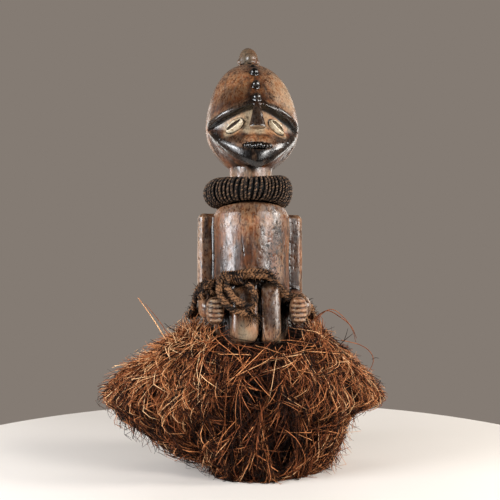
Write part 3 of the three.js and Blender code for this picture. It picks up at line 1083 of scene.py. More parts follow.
@dataclass
class Trunk:
    """Neck, sloping shoulder edge, straight chest and hips, and the swelling split belly."""

    sections: tuple = (
        (391, 28, 28, 28), (336, 28, 28, 28), (333.5, 37, 36, 36), (331.5, 45, 42.5, 43.5),
        (323, 50, 46, 48), (308, 51, 47.5, 50), (262, 50, 46.5, 49), (215, 51, 48, 51),
        (172, 48, 47, 51), (148, 42, 42, 46), (134, 34, 30, 34),
    )
    shoulder_rise: float = 4.0
    cleft: float = 2.8
    cleft_middle: float = 196.0
    cleft_half: float = 37.0
    lobes: tuple = (
        Lump((-15.2, -45, 194), (17.8, 18.2, 35), 3.8, (-0.15, 0, 0)),
        Lump((16.2, -46, 196.5), (13.2, 18.2, 37.5), 4.2, (-0.15, 0, 0)),
    )

    def place(self, angle: Array, share: Array) -> Array:
        """Where a point of the net lies on the trunk.

        Args:
            angle: Angle from the front.
            share: Share of the way down.

        Returns:
            The points, in millimetres.
        """
        known = np.asarray(self.sections)[::-1]
        top, foot = known[-1, 0], known[0, 0]
        inside = np.clip((share - 0.02) / 0.96, 0, 1)
        z = blend(top, foot, inside)
        width, front, behind = (np.interp(z, known[:, 0], known[:, k]) for k in (1, 2, 3))
        depth = np.where(np.cos(angle) > 0, front, behind)
        end = np.clip(np.minimum(share, 1 - share) / 0.02, 0, 1)
        z = z + self.shoulder_rise * eased(318, 334, z) * np.maximum(0, np.cos(angle))
        return oval(angle, width * end, depth * end, z)

    def beside_cleft(self, z: Array) -> Array:
        """Whether a height lies between the ends of the cleft."""
        return np.abs(z - self.cleft_middle) < self.cleft_half

    def build(self) -> list:
        """Models the trunk and the two lobes of the belly."""
        return [net(160, 220, self.place), *(lobe.build(56, 48) for lobe in self.lobes)]


@dataclass
class Limbs:
    """Arms pressed to the sides and bent forward, closed hands, short bent legs and the low base."""

    arm_outer: float = 69.5
    arm_inner: float = 44.0
    arm_top: float = 326.5
    arm_bottom: float = 205.0
    arm_y: float = 12.0
    arm_half_depth: float = 14.0
    hand: Triple = (52.0, -52.0, 200.0)
    hand_half: Triple = (11.5, 13.0, 17.0)
    base_height: float = 14.0
    base_half: Pair = (43.0, 36.0)

    @property
    def finger_pitch(self) -> float:
        """From the middle of one finger to the next."""
        return self.hand_half[2] * 1.72 / 5

    def upper_arm(self, side: Side) -> Piece:
        """A squared bar, its edges cut to facets with bevels."""
        middle = side.value * (self.arm_outer + self.arm_inner) / 2
        wide, high = (self.arm_outer - self.arm_inner) / 2, (self.arm_top - self.arm_bottom) / 2
        half = (wide, self.arm_half_depth, high)
        at = (middle, self.arm_y, (self.arm_top + self.arm_bottom) / 2)
        made = start(bpy.ops.mesh.primitive_cube_add, size=2, location=at, scale=half)
        bevel_edges((4.6, 1), (0.9, 2))
        return made

    def fist(self, side: Side) -> list:
        """A closed hand seen end on, with five rolled fingers across it."""
        x, y, z = self.hand
        parts = [Lump((side.value * x, y, z), self.hand_half, 2.4).build(36, 30)]
        pitch = self.finger_pitch
        for step in (-2, -1, 0, 1, 2):
            parts.append(
                Lump(
                    (side.value * (x - 0.3), y - self.hand_half[1] + 2.6, z + step * pitch),
                    (9.6 - 0.7 * abs(step), 4.6 - 0.7 * abs(step), pitch * 0.44),
                    2.4,
                    (0, side.value * 0.1, 0),
                ).build(24, 16)
            )
        return parts

    def leg(self, side: Side) -> list:
        """Thigh, calf and foot of one side."""
        x = side.value
        return [
            Lump((x * 21, -4, 122), (20, 24, 42), 2.6, (0.12, 0, 0)).build(28, 24),
            Lump((x * 22, 2, 58), (17, 19, 48), 2.6, (-0.12, 0, 0)).build(28, 24),
            Lump((x * 21, -8, 18), (16, 26, 10), 3).build(28, 20),
        ]

    def base(self) -> Piece:
        """The low oval block under the feet."""
        width, depth = self.base_half

        def block(angle: Array, share: Array) -> Array:
            """A squared oval with a flat top and foot."""
            reach = (np.abs(np.sin(angle)) ** 3 + np.abs(np.cos(angle)) ** 3) ** (-1 / 3)
            end = np.clip(np.minimum(share, 1 - share) / 0.3, 0, 1)
            z = self.base_height * (1 - np.clip((share - 0.3) / 0.4, 0, 1))
            return oval(angle, width * reach * end, depth * reach * end, z)

        return net(96, 40, block)

    def build(self) -> list:
        """Models every limb and the base."""
        parts = [self.base()]
        for side in Side:
            forearm = Lump((side.value * 57.5, -17, 209), (12, 36, 14), 3.2, (0.26, 0, side.value * 0.1))
            parts += [self.upper_arm(side), forearm.build(40, 32), *self.fist(side), *self.leg(side)]
        return parts


@dataclass(frozen=True)
class Patches:
    """Soft oval patches on the figure. Each row holds a middle, three half sizes and a strength."""

    rows: tuple[tuple[float, ...], ...]
    edge: float = 0.45
    raggedness: float = 0.28

    def share(self, points: Array, ragged: Array | float) -> Array:
        """How strongly the strongest patch covers each point.

        Args:
            points: Points of the figure.
            ragged: Noise that makes the patches' edges uneven.

        Returns:
            A share for each point.
        """
        most = np.zeros(len(points))
        for *place, strength in self.rows:
            away = np.linalg.norm((points - place[:3]) / place[3:], axis=1) + self.raggedness * ragged
            most = np.maximum(most, strength * eased(1 + self.edge / 2, 1 - self.edge, away))
        return most


class SkinTints:
    """The share of each tint at each vertex of the figure's skin, one laid over another."""

    PATCHES = {
        "warm": Patches((
            (-30, -35, 492, 30, 34, 30, 0.9), (32, -30, 485, 26, 40, 38, 0.7), (8, -48, 280, 8, 16, 40, 0.75),
            (0, -45, 322, 46, 22, 13, 0.85), (0, -55, 415, 18, 16, 6, 0.7), (46, -20, 282, 6, 22, 46, 0.8),
            (0, 0, 374, 34, 34, 12, 0.6), (-10, -48, 236, 30, 14, 20, 0.5),
        )),
        "clay": Patches((
            (-14, -66, 176, 18, 20, 15, 0.5), (34, -46, 160, 14, 20, 14, 0.6), (0, 0, 377, 36, 36, 10, 0.3),
            # The patch at (42, -26, 484) on the dome's +X side is partly painted sheen of that lit side.
            (42, -26, 484, 20, 32, 34, 0.34), (-2, 14, 540, 24, 24, 22, 0.28),
        )),
        "resin": Patches((
            (-2, 14, 543, 22, 24, 20, 0.5), (-26, -44, 470, 36, 24, 21, 0.6), (0, -60, 391, 34, 22, 15, 1),
            (9, -50, 476, 9, 18, 18, 0.4), (-34, -48, 412, 21, 22, 10, 0.72), (37, -46, 412, 22, 22, 10, 0.7),
            (0, -42, 328, 46, 24, 11, 0.5), (-58, -2, 270, 6, 20, 70, 0.5), (58, -2, 270, 7, 20, 70, 0.6),
            (30, -40, 286, 9, 20, 24, 0.45), (8, -48, 262, 10, 18, 44, 0.55), (-46, -20, 262, 7, 16, 60, 0.4),
            (18, -62, 206, 15, 14, 34, 0.5), (-24, -60, 186, 9, 14, 26, 0.45),
        )),
        "wear_and_sheen": Patches((
            # The first patch paints the lit +X side of the dome pale as sheen; the third lightens the outer
            # face of the -X arm, partly wear and partly painted highlight.
            (40, -26, 482, 26, 34, 44, 0.95), (33, -38, 262, 8, 16, 30, 0.7), (-69, 0, 270, 4, 22, 60, 1),
            (-58, -2, 262, 6, 8, 40, 0.55), (0, 0, 352, 34, 34, 24, 0.45),
        )),
        # Painted shadow: under the rope band and the knot, beside both fists, and black in the grooves
        # between the arms and the trunk; two patches darken the face's outer corners below the brow.
        "grime": Patches((
            (2, -50, 234, 40, 18, 10, 0.95), (-14, -60, 214, 20, 16, 13, 0.7), (-42, -34, 188, 11, 20, 36, 1),
            (40, -34, 192, 11.5, 18, 34, 1), (-34, -50, 214, 9, 16, 24, 0.8), (-50, -30, 421, 12, 20, 8, 0.8),
            (54, -26, 421, 11, 20, 8, 0.6), (-50.5, -4, 268, 2.8, 9, 64, 1), (50.5, -4, 268, 2.4, 9, 64, 1),
        )),
        "scars": Patches(((26, -40, 274, 18, 22, 44, 1),)),
    }

    def __init__(self, figure: "CarvedFigure", made: Piece) -> None:
        """Measures the skin, and starts each tint.

        Args:
            figure: The figure's sizes.
            made: Its finished skin, in millimetres.
        """
        points, out = corners(made), normals(made)
        self.figure, self.head, self.points, self.out = figure, figure.head, points, out
        self.x, self.y, self.z = points.T
        self.ragged, self.fine = drift(points, (9, 9, 15), 51, 3), drift(points, 3.5, 52, 2)
        self.front, self.angle = eased(10, -20, self.y), np.arctan2(self.x, -self.y)
        self.brow, self.rim = self.head.brow(self.angle), self.head.rim(self.angle)
        means = (neighbour_mean(made, points, rounds) for rounds in (6, 40))
        near, wide = (((points - mean) * out).sum(axis=1) for mean in means)
        raised = eased(0.02, 0.22, near) * 0.5 + eased(0.15, 0.9, wide) * 0.6
        self.shares = {
            "wear_and_sheen": 0.6 * raised + 0.3 * eased(0.15, 0.65, drift(points, (7, 7, 26), 61, 3)),
            "grime": eased(-0.03, -0.3, near) * 0.6 + eased(-0.35, -1.8, wide),
        }
        for tint in ("warm", "clay", "resin", "scars"):
            self.shares[tint] = self.patch(tint)

    def patch(self, tint: str) -> Array:
        """How much of a tint its patches give each vertex."""
        return self.PATCHES[tint].share(self.points, self.ragged)

    def add(self, tint: str, share: Array) -> None:
        """Lets a tint cover at least this share of each vertex."""
        self.shares[tint] = np.maximum(self.shares[tint], share)

    def put(self, place: Array, **shares: Array | float) -> None:
        """Gives tints new shares at a place."""
        for tint, share in shares.items():
            self.shares[tint] = np.where(place, share, self.shares[tint])

    def lay_face(self) -> None:
        """Lays clay in the hollow face, resin on the jaw below a curved crease, and warmth off the cheeks."""
        z, ragged, aside = self.z, self.ragged, np.abs(self.x)
        in_face = self.front * eased(self.brow + 1, self.brow - 3, z) * eased(395, 408, z)
        in_face *= eased(self.rim - 2, self.rim + 10, z) * eased(1.35, 1.1, np.abs(self.angle))
        foot = 420 + 0.35 * np.maximum(aside - 22, 0)
        in_face *= eased(foot, foot + 7, z + 5 * ragged)
        self.add("clay", in_face * eased(50, 37, np.abs(self.x - 3) + 5 * ragged))
        crease = 399.5 + 0.011 * self.x**2
        jaw = eased(crease + 2.5, crease - 2.5, z + 3 * ragged) * eased(self.rim - 3, self.rim + 1, z)
        self.add("resin", 0.95 * jaw * self.front * eased(62, 50, aside))
        self.add("warm", 0.7 * eased(0.05, 0.5, ragged))
        self.shares["warm"] *= 1 - self.front * eased(28, 38, aside) * eased(428, 420, z) * (z > 395)

    def lay_nose(self) -> Array:
        """Lays resin on the nose, thinner at its edges, and clay on its underside.

        Returns:
            Which vertices are on the nose.
        """
        spare, half = 0.8, self.head.nose_length / 2
        own = (self.points - self.head.nose_at) @ turn_matrix((-self.head.nose_lean, 0, 0))
        reach = np.interp(own[:, 2], [-half, half], self.head.nose_half) + spare
        on_nose = (np.abs(own[:, 0]) < reach) & (own[:, 1] < 2.5) & (np.abs(own[:, 2]) < half + spare)
        underside = eased(-0.3, -0.7, self.out[:, 2])
        edges = eased(0.62, 0.92, np.abs(own[:, 0]) / reach)
        self.put(on_nose, resin=(0.86 - 0.3 * edges) * (1 - underside), clay=0.8 * underside)
        return on_nose

    def lay_brow(self, on_nose: Array) -> None:
        """Lays resin on the studs, the crest and the brow's edge, and painted shadow under the brow, deeper
        on the +X side.
        """
        x, z, brow = self.x, self.z, self.brow
        for height, forward, radius in self.head.studs:
            away = np.linalg.norm(self.points - (0, -forward, height), axis=1)
            self.add("resin", eased(radius + 2.2, radius + 0.6, away))
        lower = brow - 1 - 3.5 * eased(4, -6, x)
        band = self.front * eased(lower, lower + 2, z) * eased(brow + 9, brow + 5, z + 2 * self.ragged)
        self.add("resin", 0.9 * band * (np.abs(self.angle) < 1.4) * (z > 425))
        self.add("resin", 0.7 * eased(2.2, 1, np.abs(x)) * self.front * eased(458, 464, z))
        # Painted shadow under the brow's overhang.
        painted_shade = brow - 5 - 1.5 * eased(-5, 5, x)
        under = self.front * eased(painted_shade, painted_shade + 3, z) * eased(brow + 1.2, brow, z)
        self.add("grime", under * (np.abs(self.angle) < 1.35) * ~on_nose)

    def lay_eyes(self) -> None:
        """Lays clay round each shell, and dirt in the joint."""
        for eye in self.figure.eyes:
            own = eye.own(self.points)
            ring, close = eye.ring(own), eye.near(own) * self.front
            self.add("clay", 0.9 * close * eased(1.5, 1.25, ring))
            self.add("grime", close * eased(1.12, 1, ring))

    def lay_mouth(self) -> None:
        """Blackens the mouth with resin, and paints shade deep in it behind the teeth."""
        middle, half = self.head.mouth_at[1], self.head.mouth_half
        oval = (self.x / (half[0] + 1.5)) ** 2 + ((self.z - middle) / (half[1] + 0.4)) ** 2
        # Painted shade deep in the mouth, behind the teeth.
        painted_shade = np.maximum(self.shares["grime"], eased(-59.5, -58, self.y))
        self.put((oval < 1) & (self.y < -40), warm=0, clay=0, resin=1, grime=painted_shade)

    def lay_painted_shade(self) -> None:
        """Lightens the crease at the neck, and paints shade into the cleft, under the rope, beside the fists
        and in the grooves by the arms; it also darkens the face's outer corners, and the body low down away
        from the front.
        """
        x, y, z = self.x, self.y, self.z
        at_neck = eased(393, 388, z) * eased(360, 364, z) * (np.hypot(x, y) < 37)
        # Takes most of the darkening out of the crease at the neck.
        self.shares["grime"] *= 1 - 0.85 * at_neck
        # Painted shade in the cleft between the lobes.
        cleft = eased(1.5, 0.7, np.abs(x - self.figure.trunk.cleft)) * (y < -48)
        self.add("grime", cleft * self.figure.trunk.beside_cleft(z))
        self.add("grime", self.patch("grime"))
        # Darker low down, away from the front.
        self.add("grime", 0.6 * eased(212, 150, z) * eased(-30, -10, y))

    def lay_hands(self) -> None:
        """Paints shade into the grooves between the fingers, and lays clay along them."""
        x, y, z = self.figure.limbs.hand
        across = np.abs(self.x) - x
        near = (np.abs(across) < 10.5) & (self.y < y - 6)
        height = self.z - z - 0.1 * across - 0.014 * across**2
        fingers = np.where(near, np.cos(height / self.figure.limbs.finger_pitch * TURN), 0)
        # Painted shade between the fingers.
        self.add("grime", (0.75 + 0.5 * self.fine) * eased(-0.6, -0.98, fingers))
        self.add("clay", 0.55 * eased(0.2, 0.9, fingers) * eased(-0.6, 0.4, self.ragged))

    def lay(self) -> dict[str, Array]:
        """Lays all the tints in turn.

        Returns:
            The share of each tint at each vertex.
        """
        self.lay_face()
        on_nose = self.lay_nose()
        self.lay_eyes()
        self.lay_brow(on_nose)
        self.lay_mouth()
        self.lay_painted_shade()
        self.lay_hands()
        self.add("wear_and_sheen", self.patch("wear_and_sheen"))
        self.shares["wear_and_sheen"] += 0.15 * self.fine
        return self.shares


@dataclass
class CarvedFigure:
    """The whole carving, made one skin, worn, cracked and tinted."""

    voxel: float = 0.95
    most_faces: int = 188000
    head: Head = field(default_factory=Head)
    trunk: Trunk = field(default_factory=Trunk)
    limbs: Limbs = field(default_factory=Limbs)
    eyes: list = field(default_factory=lambda: [Cowrie(Side.RIGHT), Cowrie(Side.LEFT)])
    cracks: tuple = (
        ((-18, -44, 300), (-16, -46, 262), 0.5, 0.5), ((-30, -40, 190), (-14, -48, 160), 1, 1.2),
        ((38, -30, 300), (40, -28, 236), 0.6, 0.6), ((-20, 48, 318), (-14, 48, 214), 1.1, 1.6),
        ((24, 45, 300), (28, 44, 242), 0.8, 1), ((-34, 52, 500), (-30, 46, 428), 0.9, 1.2),
        ((46, 26, 482), (50, 20, 430), 0.8, 0.9), ((-68, 8, 322), (-69, 10, 258), 0.7, 0.7),
    )
    calm_patches: Patches = Patches(((0, -54, 394, 56, 26, 18, 0.85), (-22, -46, 275, 22, 20, 52, 0.6)))

    def join_parts(self) -> Piece:
        """Makes one even skin of all the parts."""
        parts = self.head.build(self.eyes) + self.trunk.build() + self.limbs.build()
        made = fuse("carved_figure_wood", parts)
        voxel = self.voxel * 1
        modify(made, "REMESH", mode="VOXEL", voxel_size=voxel, adaptivity=0)
        return made

    def wear_surface(self, made: Piece) -> None:
        """Moves the skin as the adze, the years and many hands did."""
        points = neighbour_mean(made, corners(made), 2)
        put_corners(made, points)
        out = normals(made)
        height = 0.38 * drift(points, (17, 17, 34), 3, 2)
        height += 0.12 * drift(points, (5.5, 5.5, 15), 5, 2)
        pits = drift(points, 2.6, 9, 2)
        height -= 0.3 * eased(0.34, 0.62, pits)
        height *= 1 - self.calm_patches.share(points, 0)
        height += self.facets(points)
        height -= self.crack_depth(points)
        height -= self.belly_cuts(points)
        points = points + out * height[:, None]
        points[:, 2] = np.maximum(points[:, 2], 0)
        put_corners(made, points)

    def facets(self, points: Array) -> Array:
        """Low flats left by the adze on the dome and the back."""
        cells = np.round((points + 4 * np.stack([drift(points, 20, 21 + k) for k in range(3)], axis=1)) / 13)
        value = lattice(*(cells[:, k].astype(np.int64) for k in range(3)), seed=33)
        where = eased(-10, 30, points[:, 1])
        return 0.22 * value * where

    def crack_depth(self, points: Array) -> Array:
        """Depth of the drying cracks, each a wandering line from one place to another."""
        depth = np.zeros(len(points))
        wander = 1.2 * drift(points, 9, 41) + 0.5 * drift(points, 3, 42)
        for start, end, width, deep in self.cracks:
            a, b = np.asarray(start), np.asarray(end)
            along = np.clip((points - a) @ (b - a) / np.dot(b - a, b - a), 0, 1)
            offset = points - (a + along[:, None] * (b - a))
            away = np.linalg.norm(offset * (1, 0.35, 1), axis=1)
            away = np.abs(away + wander * np.sign(offset[:, 0]) * np.minimum(away, 1))
            taper = eased(0, 0.2, along) * eased(1, 0.8, along)
            close = np.abs(offset[:, 1]) < 14
            depth += np.where(close, deep * taper * np.exp(-((away / width) ** 2)), 0)
        return depth

    def belly_cuts(self, points: Array) -> Array:
        """Deepens the upright cleft between the two lobes."""
        middle = self.trunk.cleft + 0.6 * drift(points, (40, 40, 14), 43)
        near = (points[:, 1] < -46) & self.trunk.beside_cleft(points[:, 2])
        return np.where(near, 3.4 * np.exp(-(((points[:, 0] - middle) / 1.3) ** 2)), 0)

    def build(self) -> Piece:
        """Carves, wears and tints the figure.

        Returns:
            The finished piece.
        """
        made = self.join_parts()
        self.wear_surface(made)
        faces = len(made.data.polygons) * 2
        if faces > self.most_faces:
            modify(made, "DECIMATE", ratio=self.most_faces / faces)
        made = fuse("carved_figure_wood", [made, *self.head.teeth()])
        for name, share in SkinTints(self, made).lay().items():
            tag(made, name, share)
        return finish_piece(made, PatinatedWood(), "carved_figure", 60)


# Shells, collar and rope.


@dataclass
class CowrieEye:
    """One cowrie shell, slit outwards."""

    cowrie: Cowrie
    slit_half: Pair = (11.2, 1.75)
    slit_shift: float = 2.2
    slit_depth: float = 2.8
    tooth: float = 1.55
    slit_darkening: dict = field(default_factory=lambda: {Side.RIGHT: 1.1, Side.LEFT: 0.7})

    def build(self) -> Piece:
        """Models the shell with its toothed slit.

        Returns:
            The finished piece.
        """
        made = ball(96, 64)
        points = corners(made)[:, [2, 1, 0]] * (1, 1, -1)
        size = (np.abs(points) ** 2.1).sum(axis=1) ** (1 / 2.1)
        points = points / size[:, None] * self.cowrie.half
        length, depth, width = points.T
        points[:, 2] *= 1 - 0.16 * eased(2, 13, length * self.cowrie.side.value)
        teeth = 0.45 * np.cos(length / self.tooth * TURN)
        opening = self.slit_half[1] * np.sqrt(np.clip(1 - (length / self.slit_half[0]) ** 2, 0, 1))
        away = np.abs(width - self.slit_shift)
        edge = eased(opening + 0.9 + teeth, opening - 0.5, away)
        front = depth < 0
        sunk = np.where(front & (opening > 0), edge, 0)
        lip = np.where(front, np.exp(-(((away - opening - 1.6) / 1) ** 2)) * (opening > 0.3), 0)
        points[:, 1] += self.slit_depth * sunk - 0.35 * lip * (1 + teeth)
        put_corners(made, self.cowrie.back(points))
        face_outwards(made)
        tag(made, "slit", sunk * self.slit_darkening[self.cowrie.side])
        side = self.cowrie.side.name.lower()
        made = fuse(f"{side}_cowrie_shell", [made])
        return finish_piece(made, CowrieShellFinish(), f"{side}_cowrie_eye", 80)


@dataclass
class NeckCollar:
    """Two-ply cord wound round and round a hoop that lies on the shoulders."""

    x: float = -2.0
    z: float = 354.0
    mid_radius: float = 44.0
    half_width: float = 15.5
    half_height: float = 15.2
    wraps: int = 60
    cord: float = 2.4
    ply: float = 1.28
    twist: float = 6.6
    steps: int = 72
    sides: int = 6
    hoop_steps: int = 96
    hoop_sides: int = 24
    hoop_inset: float = 3.6

    def section(self, around: Array) -> tuple[Array, Array, Array]:
        """The hoop's section: thickest at the sides, deeper and higher on the figure's left.

        Args:
            around: Angle from the front.

        Returns:
            Half width, half height and the height of the middle.
        """
        left = np.sin(around)
        return self.half_width - 2 * left, self.half_height + 4.9 * left**2 + left, 1.5 * left

    def centre_line(self) -> tuple[Array, Array, Array]:
        """The cord's middle line round the hoop, and two directions across it.

        Returns:
            Points, outward directions and sideways directions.
        """
        count = self.wraps * self.steps
        share = np.arange(count) / count
        section = share * self.wraps * TURN
        rng = np.random.default_rng(11)
        turn = rng.normal(0, 0.85, self.wraps)
        uneven = np.repeat(turn, self.steps)
        uneven = np.convolve(np.pad(uneven, 20, mode="wrap"), np.ones(41) / 41, "valid")[:count]
        around = share * TURN + 0.018 * uneven
        around = around + 0.012 * np.sin(section + uneven)
        grow = 0.35 * np.sin(section * 0.5 + 2.3 * uneven)
        across, up, middle = self.section(around)
        radius = self.mid_radius + (across - self.cord + grow) * np.cos(section)
        points = polar(around, radius, middle + (up - self.cord + grow) * np.sin(section))
        outward = np.stack(
            [np.cos(section) * np.sin(around), -np.cos(section) * np.cos(around), np.sin(section)], axis=1
        )
        return points, unit(outward), np.cross(tangents(points, True), unit(outward))

    def hoop(self) -> Piece:
        """Models the hoop that the cord is wound round."""
        around = np.arange(self.hoop_steps)[:, None] / self.hoop_steps * TURN
        turn = np.arange(self.hoop_sides)[None, :] / self.hoop_sides * TURN
        circle = polar(around.T, self.mid_radius, 0 * around.T)
        made = tubes("collar_hoop", circle, np.ones((1, self.hoop_steps)), self.hoop_sides, closed=True)
        half_width, half_height, middle = self.section(around)
        radius = self.mid_radius + (half_width - self.hoop_inset) * np.cos(turn)
        height = middle + (half_height - self.hoop_inset) * np.sin(turn)
        put_corners(made, polar(around + 0 * turn, radius, height).reshape(-1, 3))
        return made

    def build(self) -> Piece:
        """Models the two plies of the cord, and the hoop.

        Returns:
            The finished piece.
        """
        points, outward, across = self.centre_line()
        length = travelled(points)
        whole = round(length[-1] / self.twist)
        phase = length / length[-1] * whole * TURN
        parts, tops = [], []
        reach = np.hypot(points[:, 0], points[:, 1]) / self.mid_radius
        thin = 0.62 + 0.38 * eased(-0.9, 0.35, reach - 1 + 0.35)
        for ply in (0, math.pi):
            swing = phase + ply
            line = points + (self.cord - self.ply) * (
                outward * np.cos(swing)[:, None] + across * np.sin(swing)[:, None] * thin[:, None]
            )
            made = tubes("collar_ply", line[None], (self.ply * thin)[None], self.sides, closed=True)
            spots = corners(made).reshape(len(line), self.sides, 3) - points[:, None]
            # How far each vertex faces out from the cord's middle; this sets its painted light.
            tops.append((spots * outward[:, None]).sum(axis=2).ravel() / self.cord + (0.14 if ply else -0.1))
            parts.append(made)
        made = fuse("neck_collar_cord", [*parts, self.hoop()])
        # The hoop inside is painted darkest, as shade.
        tops.append(np.full(self.hoop_steps * self.hoop_sides, -1))
        put_corners(made, corners(made) + (self.x, 0, self.z))
        face_outwards(made)
        # Painted light and shade on the cord: lighter where a ply faces out, black in the gaps.
        unevenness = 0.12 * drift(corners(made), 9, 71, 2)
        tag(made, "top", eased(-0.1, 1.1, np.concatenate(tops)) + unevenness)
        return finish_piece(made, DarkCord(), "neck_collar", 75)


@dataclass
class WaistRope:
    """A rope tied round the waist and over both forearms, with a whipping, two hanging loops and a knot."""

    ply: float = 2.0
    swing: float = 1.8
    pitch: float = 14.0
    drop: float = 5.8
    sides: int = 7
    hairs: int = 3200
    frayed: int = 90
    waist: tuple = (
        (-76, -27, 207), (-70, -36, 230), (-56, -45, 235), (-44, -37, 236), (-24, -48.5, 246),
        (0, -52.5, 248.5), (14, -50.5, 247), (27, -47, 233), (38, -45, 220), (52, -42, 217.5),
        (66, -38, 211), (75, -30, 200), (77, -8, 195), (66, 30, 199), (36, 52, 207),
        (0, 57, 211), (-36, 52, 207), (-66, 30, 200), (-78, -6, 198),
    )
    outer_loop: tuple = (
        (-36, -52, 244), (-46, -58, 237), (-48, -63, 227), (-46, -67, 217), (-38, -71, 206),
        (-25, -73, 198), (-14, -73, 197),
    )
    inner_loop: tuple = (
        (-34, -53, 243), (-39, -60, 233), (-36, -66, 223), (-29, -70, 214), (-19, -73, 208),
        (-9, -72, 206), (-5, -70, 215), (-6, -65, 223), (-12, -57, 232),
    )

    def laid(self, route: Array, closed: bool, ply: float, swing: float, plies: int, seed: int) -> list:
        """Rope of several plies laid along a route.

        Args:
            route: Even points along the middle of the rope.
            closed: True if its ends meet.
            ply: Radius of one ply.
            swing: How far a ply's middle lies from the rope's.
            plies: How many plies.
            seed: Picks the unevenness.

        Returns:
            Pairs of object and the height of each vertex on the rope, from -1 to 1.
        """
        _, side, rise = frames_along(route, closed)
        length = np.linalg.norm(np.diff(route, axis=0), axis=1).sum()
        turns = max(1, round(length / self.pitch)) if closed else length / self.pitch
        phase = np.linspace(0, turns * TURN, len(route), endpoint=not closed)
        slack = 0.35 * drift(route, 7, seed)
        made = []
        for k in range(plies):
            angle = phase + k * TURN / plies
            outwards = side * np.cos(angle)[:, None] + rise * np.sin(angle)[:, None]
            line = route + (swing + slack)[:, None] * outwards
            radius = ply * (1 + 0.2 * drift(line, 5, seed + 1 + k))
            one = tubes("rope_ply", line[None], radius[None], self.sides, closed)
            spread = np.linalg.norm(corners(one).reshape(len(route), self.sides, 3) - route[:, None], axis=2)
            # How far each vertex stands from the rope's middle, which sets its painted light and shade.
            top = (spread / (ply + swing) * 2 - 1).ravel()
            made.append((one, top - 0.25 * (k == 1)))
        return made

    def whipping(self) -> list:
        """Close turns of cord round the gathered strands at the figure's right."""
        turn = turn_matrix((0, 0.1, -0.55))
        count = 9
        t = np.linspace(0, count * TURN, count * 26)
        along = np.linspace(-15, 15, len(t))
        wide = 1 - 0.35 * (np.abs(along) / 17) ** 3
        wobble = 1 + 0.04 * np.sin(t * 0.37)
        line = np.stack([along, 6.6 * wide * wobble * np.cos(t), 7.4 * wide * wobble * np.sin(t)], axis=1)
        line = line @ turn.T + (-29, -48, 240)
        return self.laid(line, False, 1.25, 1, 2, 81)

    def forearm_coils(self) -> list:
        """Rope coiled over the right forearm, in two crossing layers."""
        centre = (-61, -38, 222)
        made = []
        for count, spin, tilt, grow, seed in ((4, 1, 0.15, 0, 83), (3, -1, -0.5, 1.5, 85)):
            t = np.linspace(0, count * TURN, count * 30)
            along = np.linspace(-9, 8, len(t))
            wide = np.sqrt(np.clip(1 - (along / 14) ** 2, 0.1, 1))
            across, up = (7.6 + grow) * wide * np.cos(spin * t), (11.6 + grow) * wide * np.sin(spin * t)
            line = np.stack([across, along, up], axis=1)
            made += self.laid(line @ turn_matrix((0.2, 0, tilt)).T + centre, False, 1.45, 1.3, 3, seed)
        return made

    def knot(self) -> list:
        """The knot over the belly where the two loops end."""
        centre = (-13, -71.5, 200)
        t = np.linspace(0, TURN, 60, endpoint=False)
        made = []
        for tilt, seed in ((0.5, 87), (-0.6, 89), (1.5, 91)):
            line = np.stack([6 * np.cos(t), 2.6 * np.sin(2 * t + tilt), 3.6 * np.sin(t)], axis=1)
            made += self.laid(line @ turn_matrix((0, tilt, 0.2)).T + centre, True, 1.3, 1.15, 2, seed)
        return made

    def loose_hairs(self, routes: list) -> tuple[Piece, Array]:
        """Fuzz: short hairs that stand off the rope, and the frayed ends below the knot.

        Args:
            routes: The middle lines of all the rope.

        Returns:
            One object with all the hairs, and its tops.
        """
        rng = np.random.default_rng(17)
        roots = np.vstack(routes)
        count, frayed, points, sides = self.hairs, self.frayed, 5, 3
        chosen = roots[rng.integers(0, len(roots), count)]
        heading = unit(rng.normal(size=(count, 3)))
        bend = rng.normal(size=(count, 3)) * 0.9
        length = rng.uniform(3, 7.5, count)
        chosen[:frayed] = (-11, -73, 197) + rng.normal(size=(frayed, 3)) * (3, 1.2, 1.5)
        heading[:frayed] = unit(rng.normal([0.45, -0.25, -0.8], 0.35, (frayed, 3)))
        length[:frayed] = rng.uniform(8, 17, frayed)
        t = np.linspace(0, 1, points)[None, :, None]
        lines = chosen[:, None] + length[:, None, None] * (t * heading[:, None] + 0.3 * t**2 * bend[:, None])
        lines = lines + unit(heading)[:, None] * 2.2
        radius = np.linspace(0.32, 0.12, points)[None] * rng.uniform(0.7, 1.4, (count, 1))
        made = tubes("rope_hairs", lines, radius, sides)
        return made, np.repeat(rng.uniform(-0.2, 1, count), points * sides)

    def build(self) -> Piece:
        """Models all the rope as one tied piece.

        Returns:
            The finished piece.
        """
        second = [(x * 1.02, y * 1.04, z - self.drop) for x, y, z in self.waist]
        turns = [smooth_route(route, 1.6, True) for route in (self.waist, second)]
        loops = [smooth_route(route, 1.5) for route in (self.outer_loop, self.inner_loop)]
        made = []
        for seed, route in zip((73, 75), turns):
            made += self.laid(route, True, self.ply, self.swing, 3, seed)
        for seed, route in zip((77, 79), loops):
            made += self.laid(route, False, self.ply * 1.12, self.swing * 1.2, 3, seed)
        made += self.whipping() + self.forearm_coils() + self.knot()
        made.append(self.loose_hairs(turns + loops))
        piece = fuse("waist_rope_laid", [one for one, _ in made])
        tops = np.concatenate([top for _, top in made])
        # Painted light and shade on the rope, mostly from each vertex's height on it.
        tag(piece, "top", eased(-0.35, 1.1, tops))
        return finish_piece(piece, PlantRope(), "waist_rope", 75)


# The skirt.


@dataclass(frozen=True)
class Outline:
    """Reach of the skirt from the axis at one side: heights from the top down, each with its reach."""

    places: tuple[Pair, ...]

    @property
    def hem(self) -> float:
        """Height of the lower edge."""
        return self.places[-1][0]

    def reach(self, z: Array) -> Array:
        """Distance from the axis at a height."""
        known = np.asarray(self.places)[::-1]
        return np.interp(z, known[:, 0], known[:, 1])


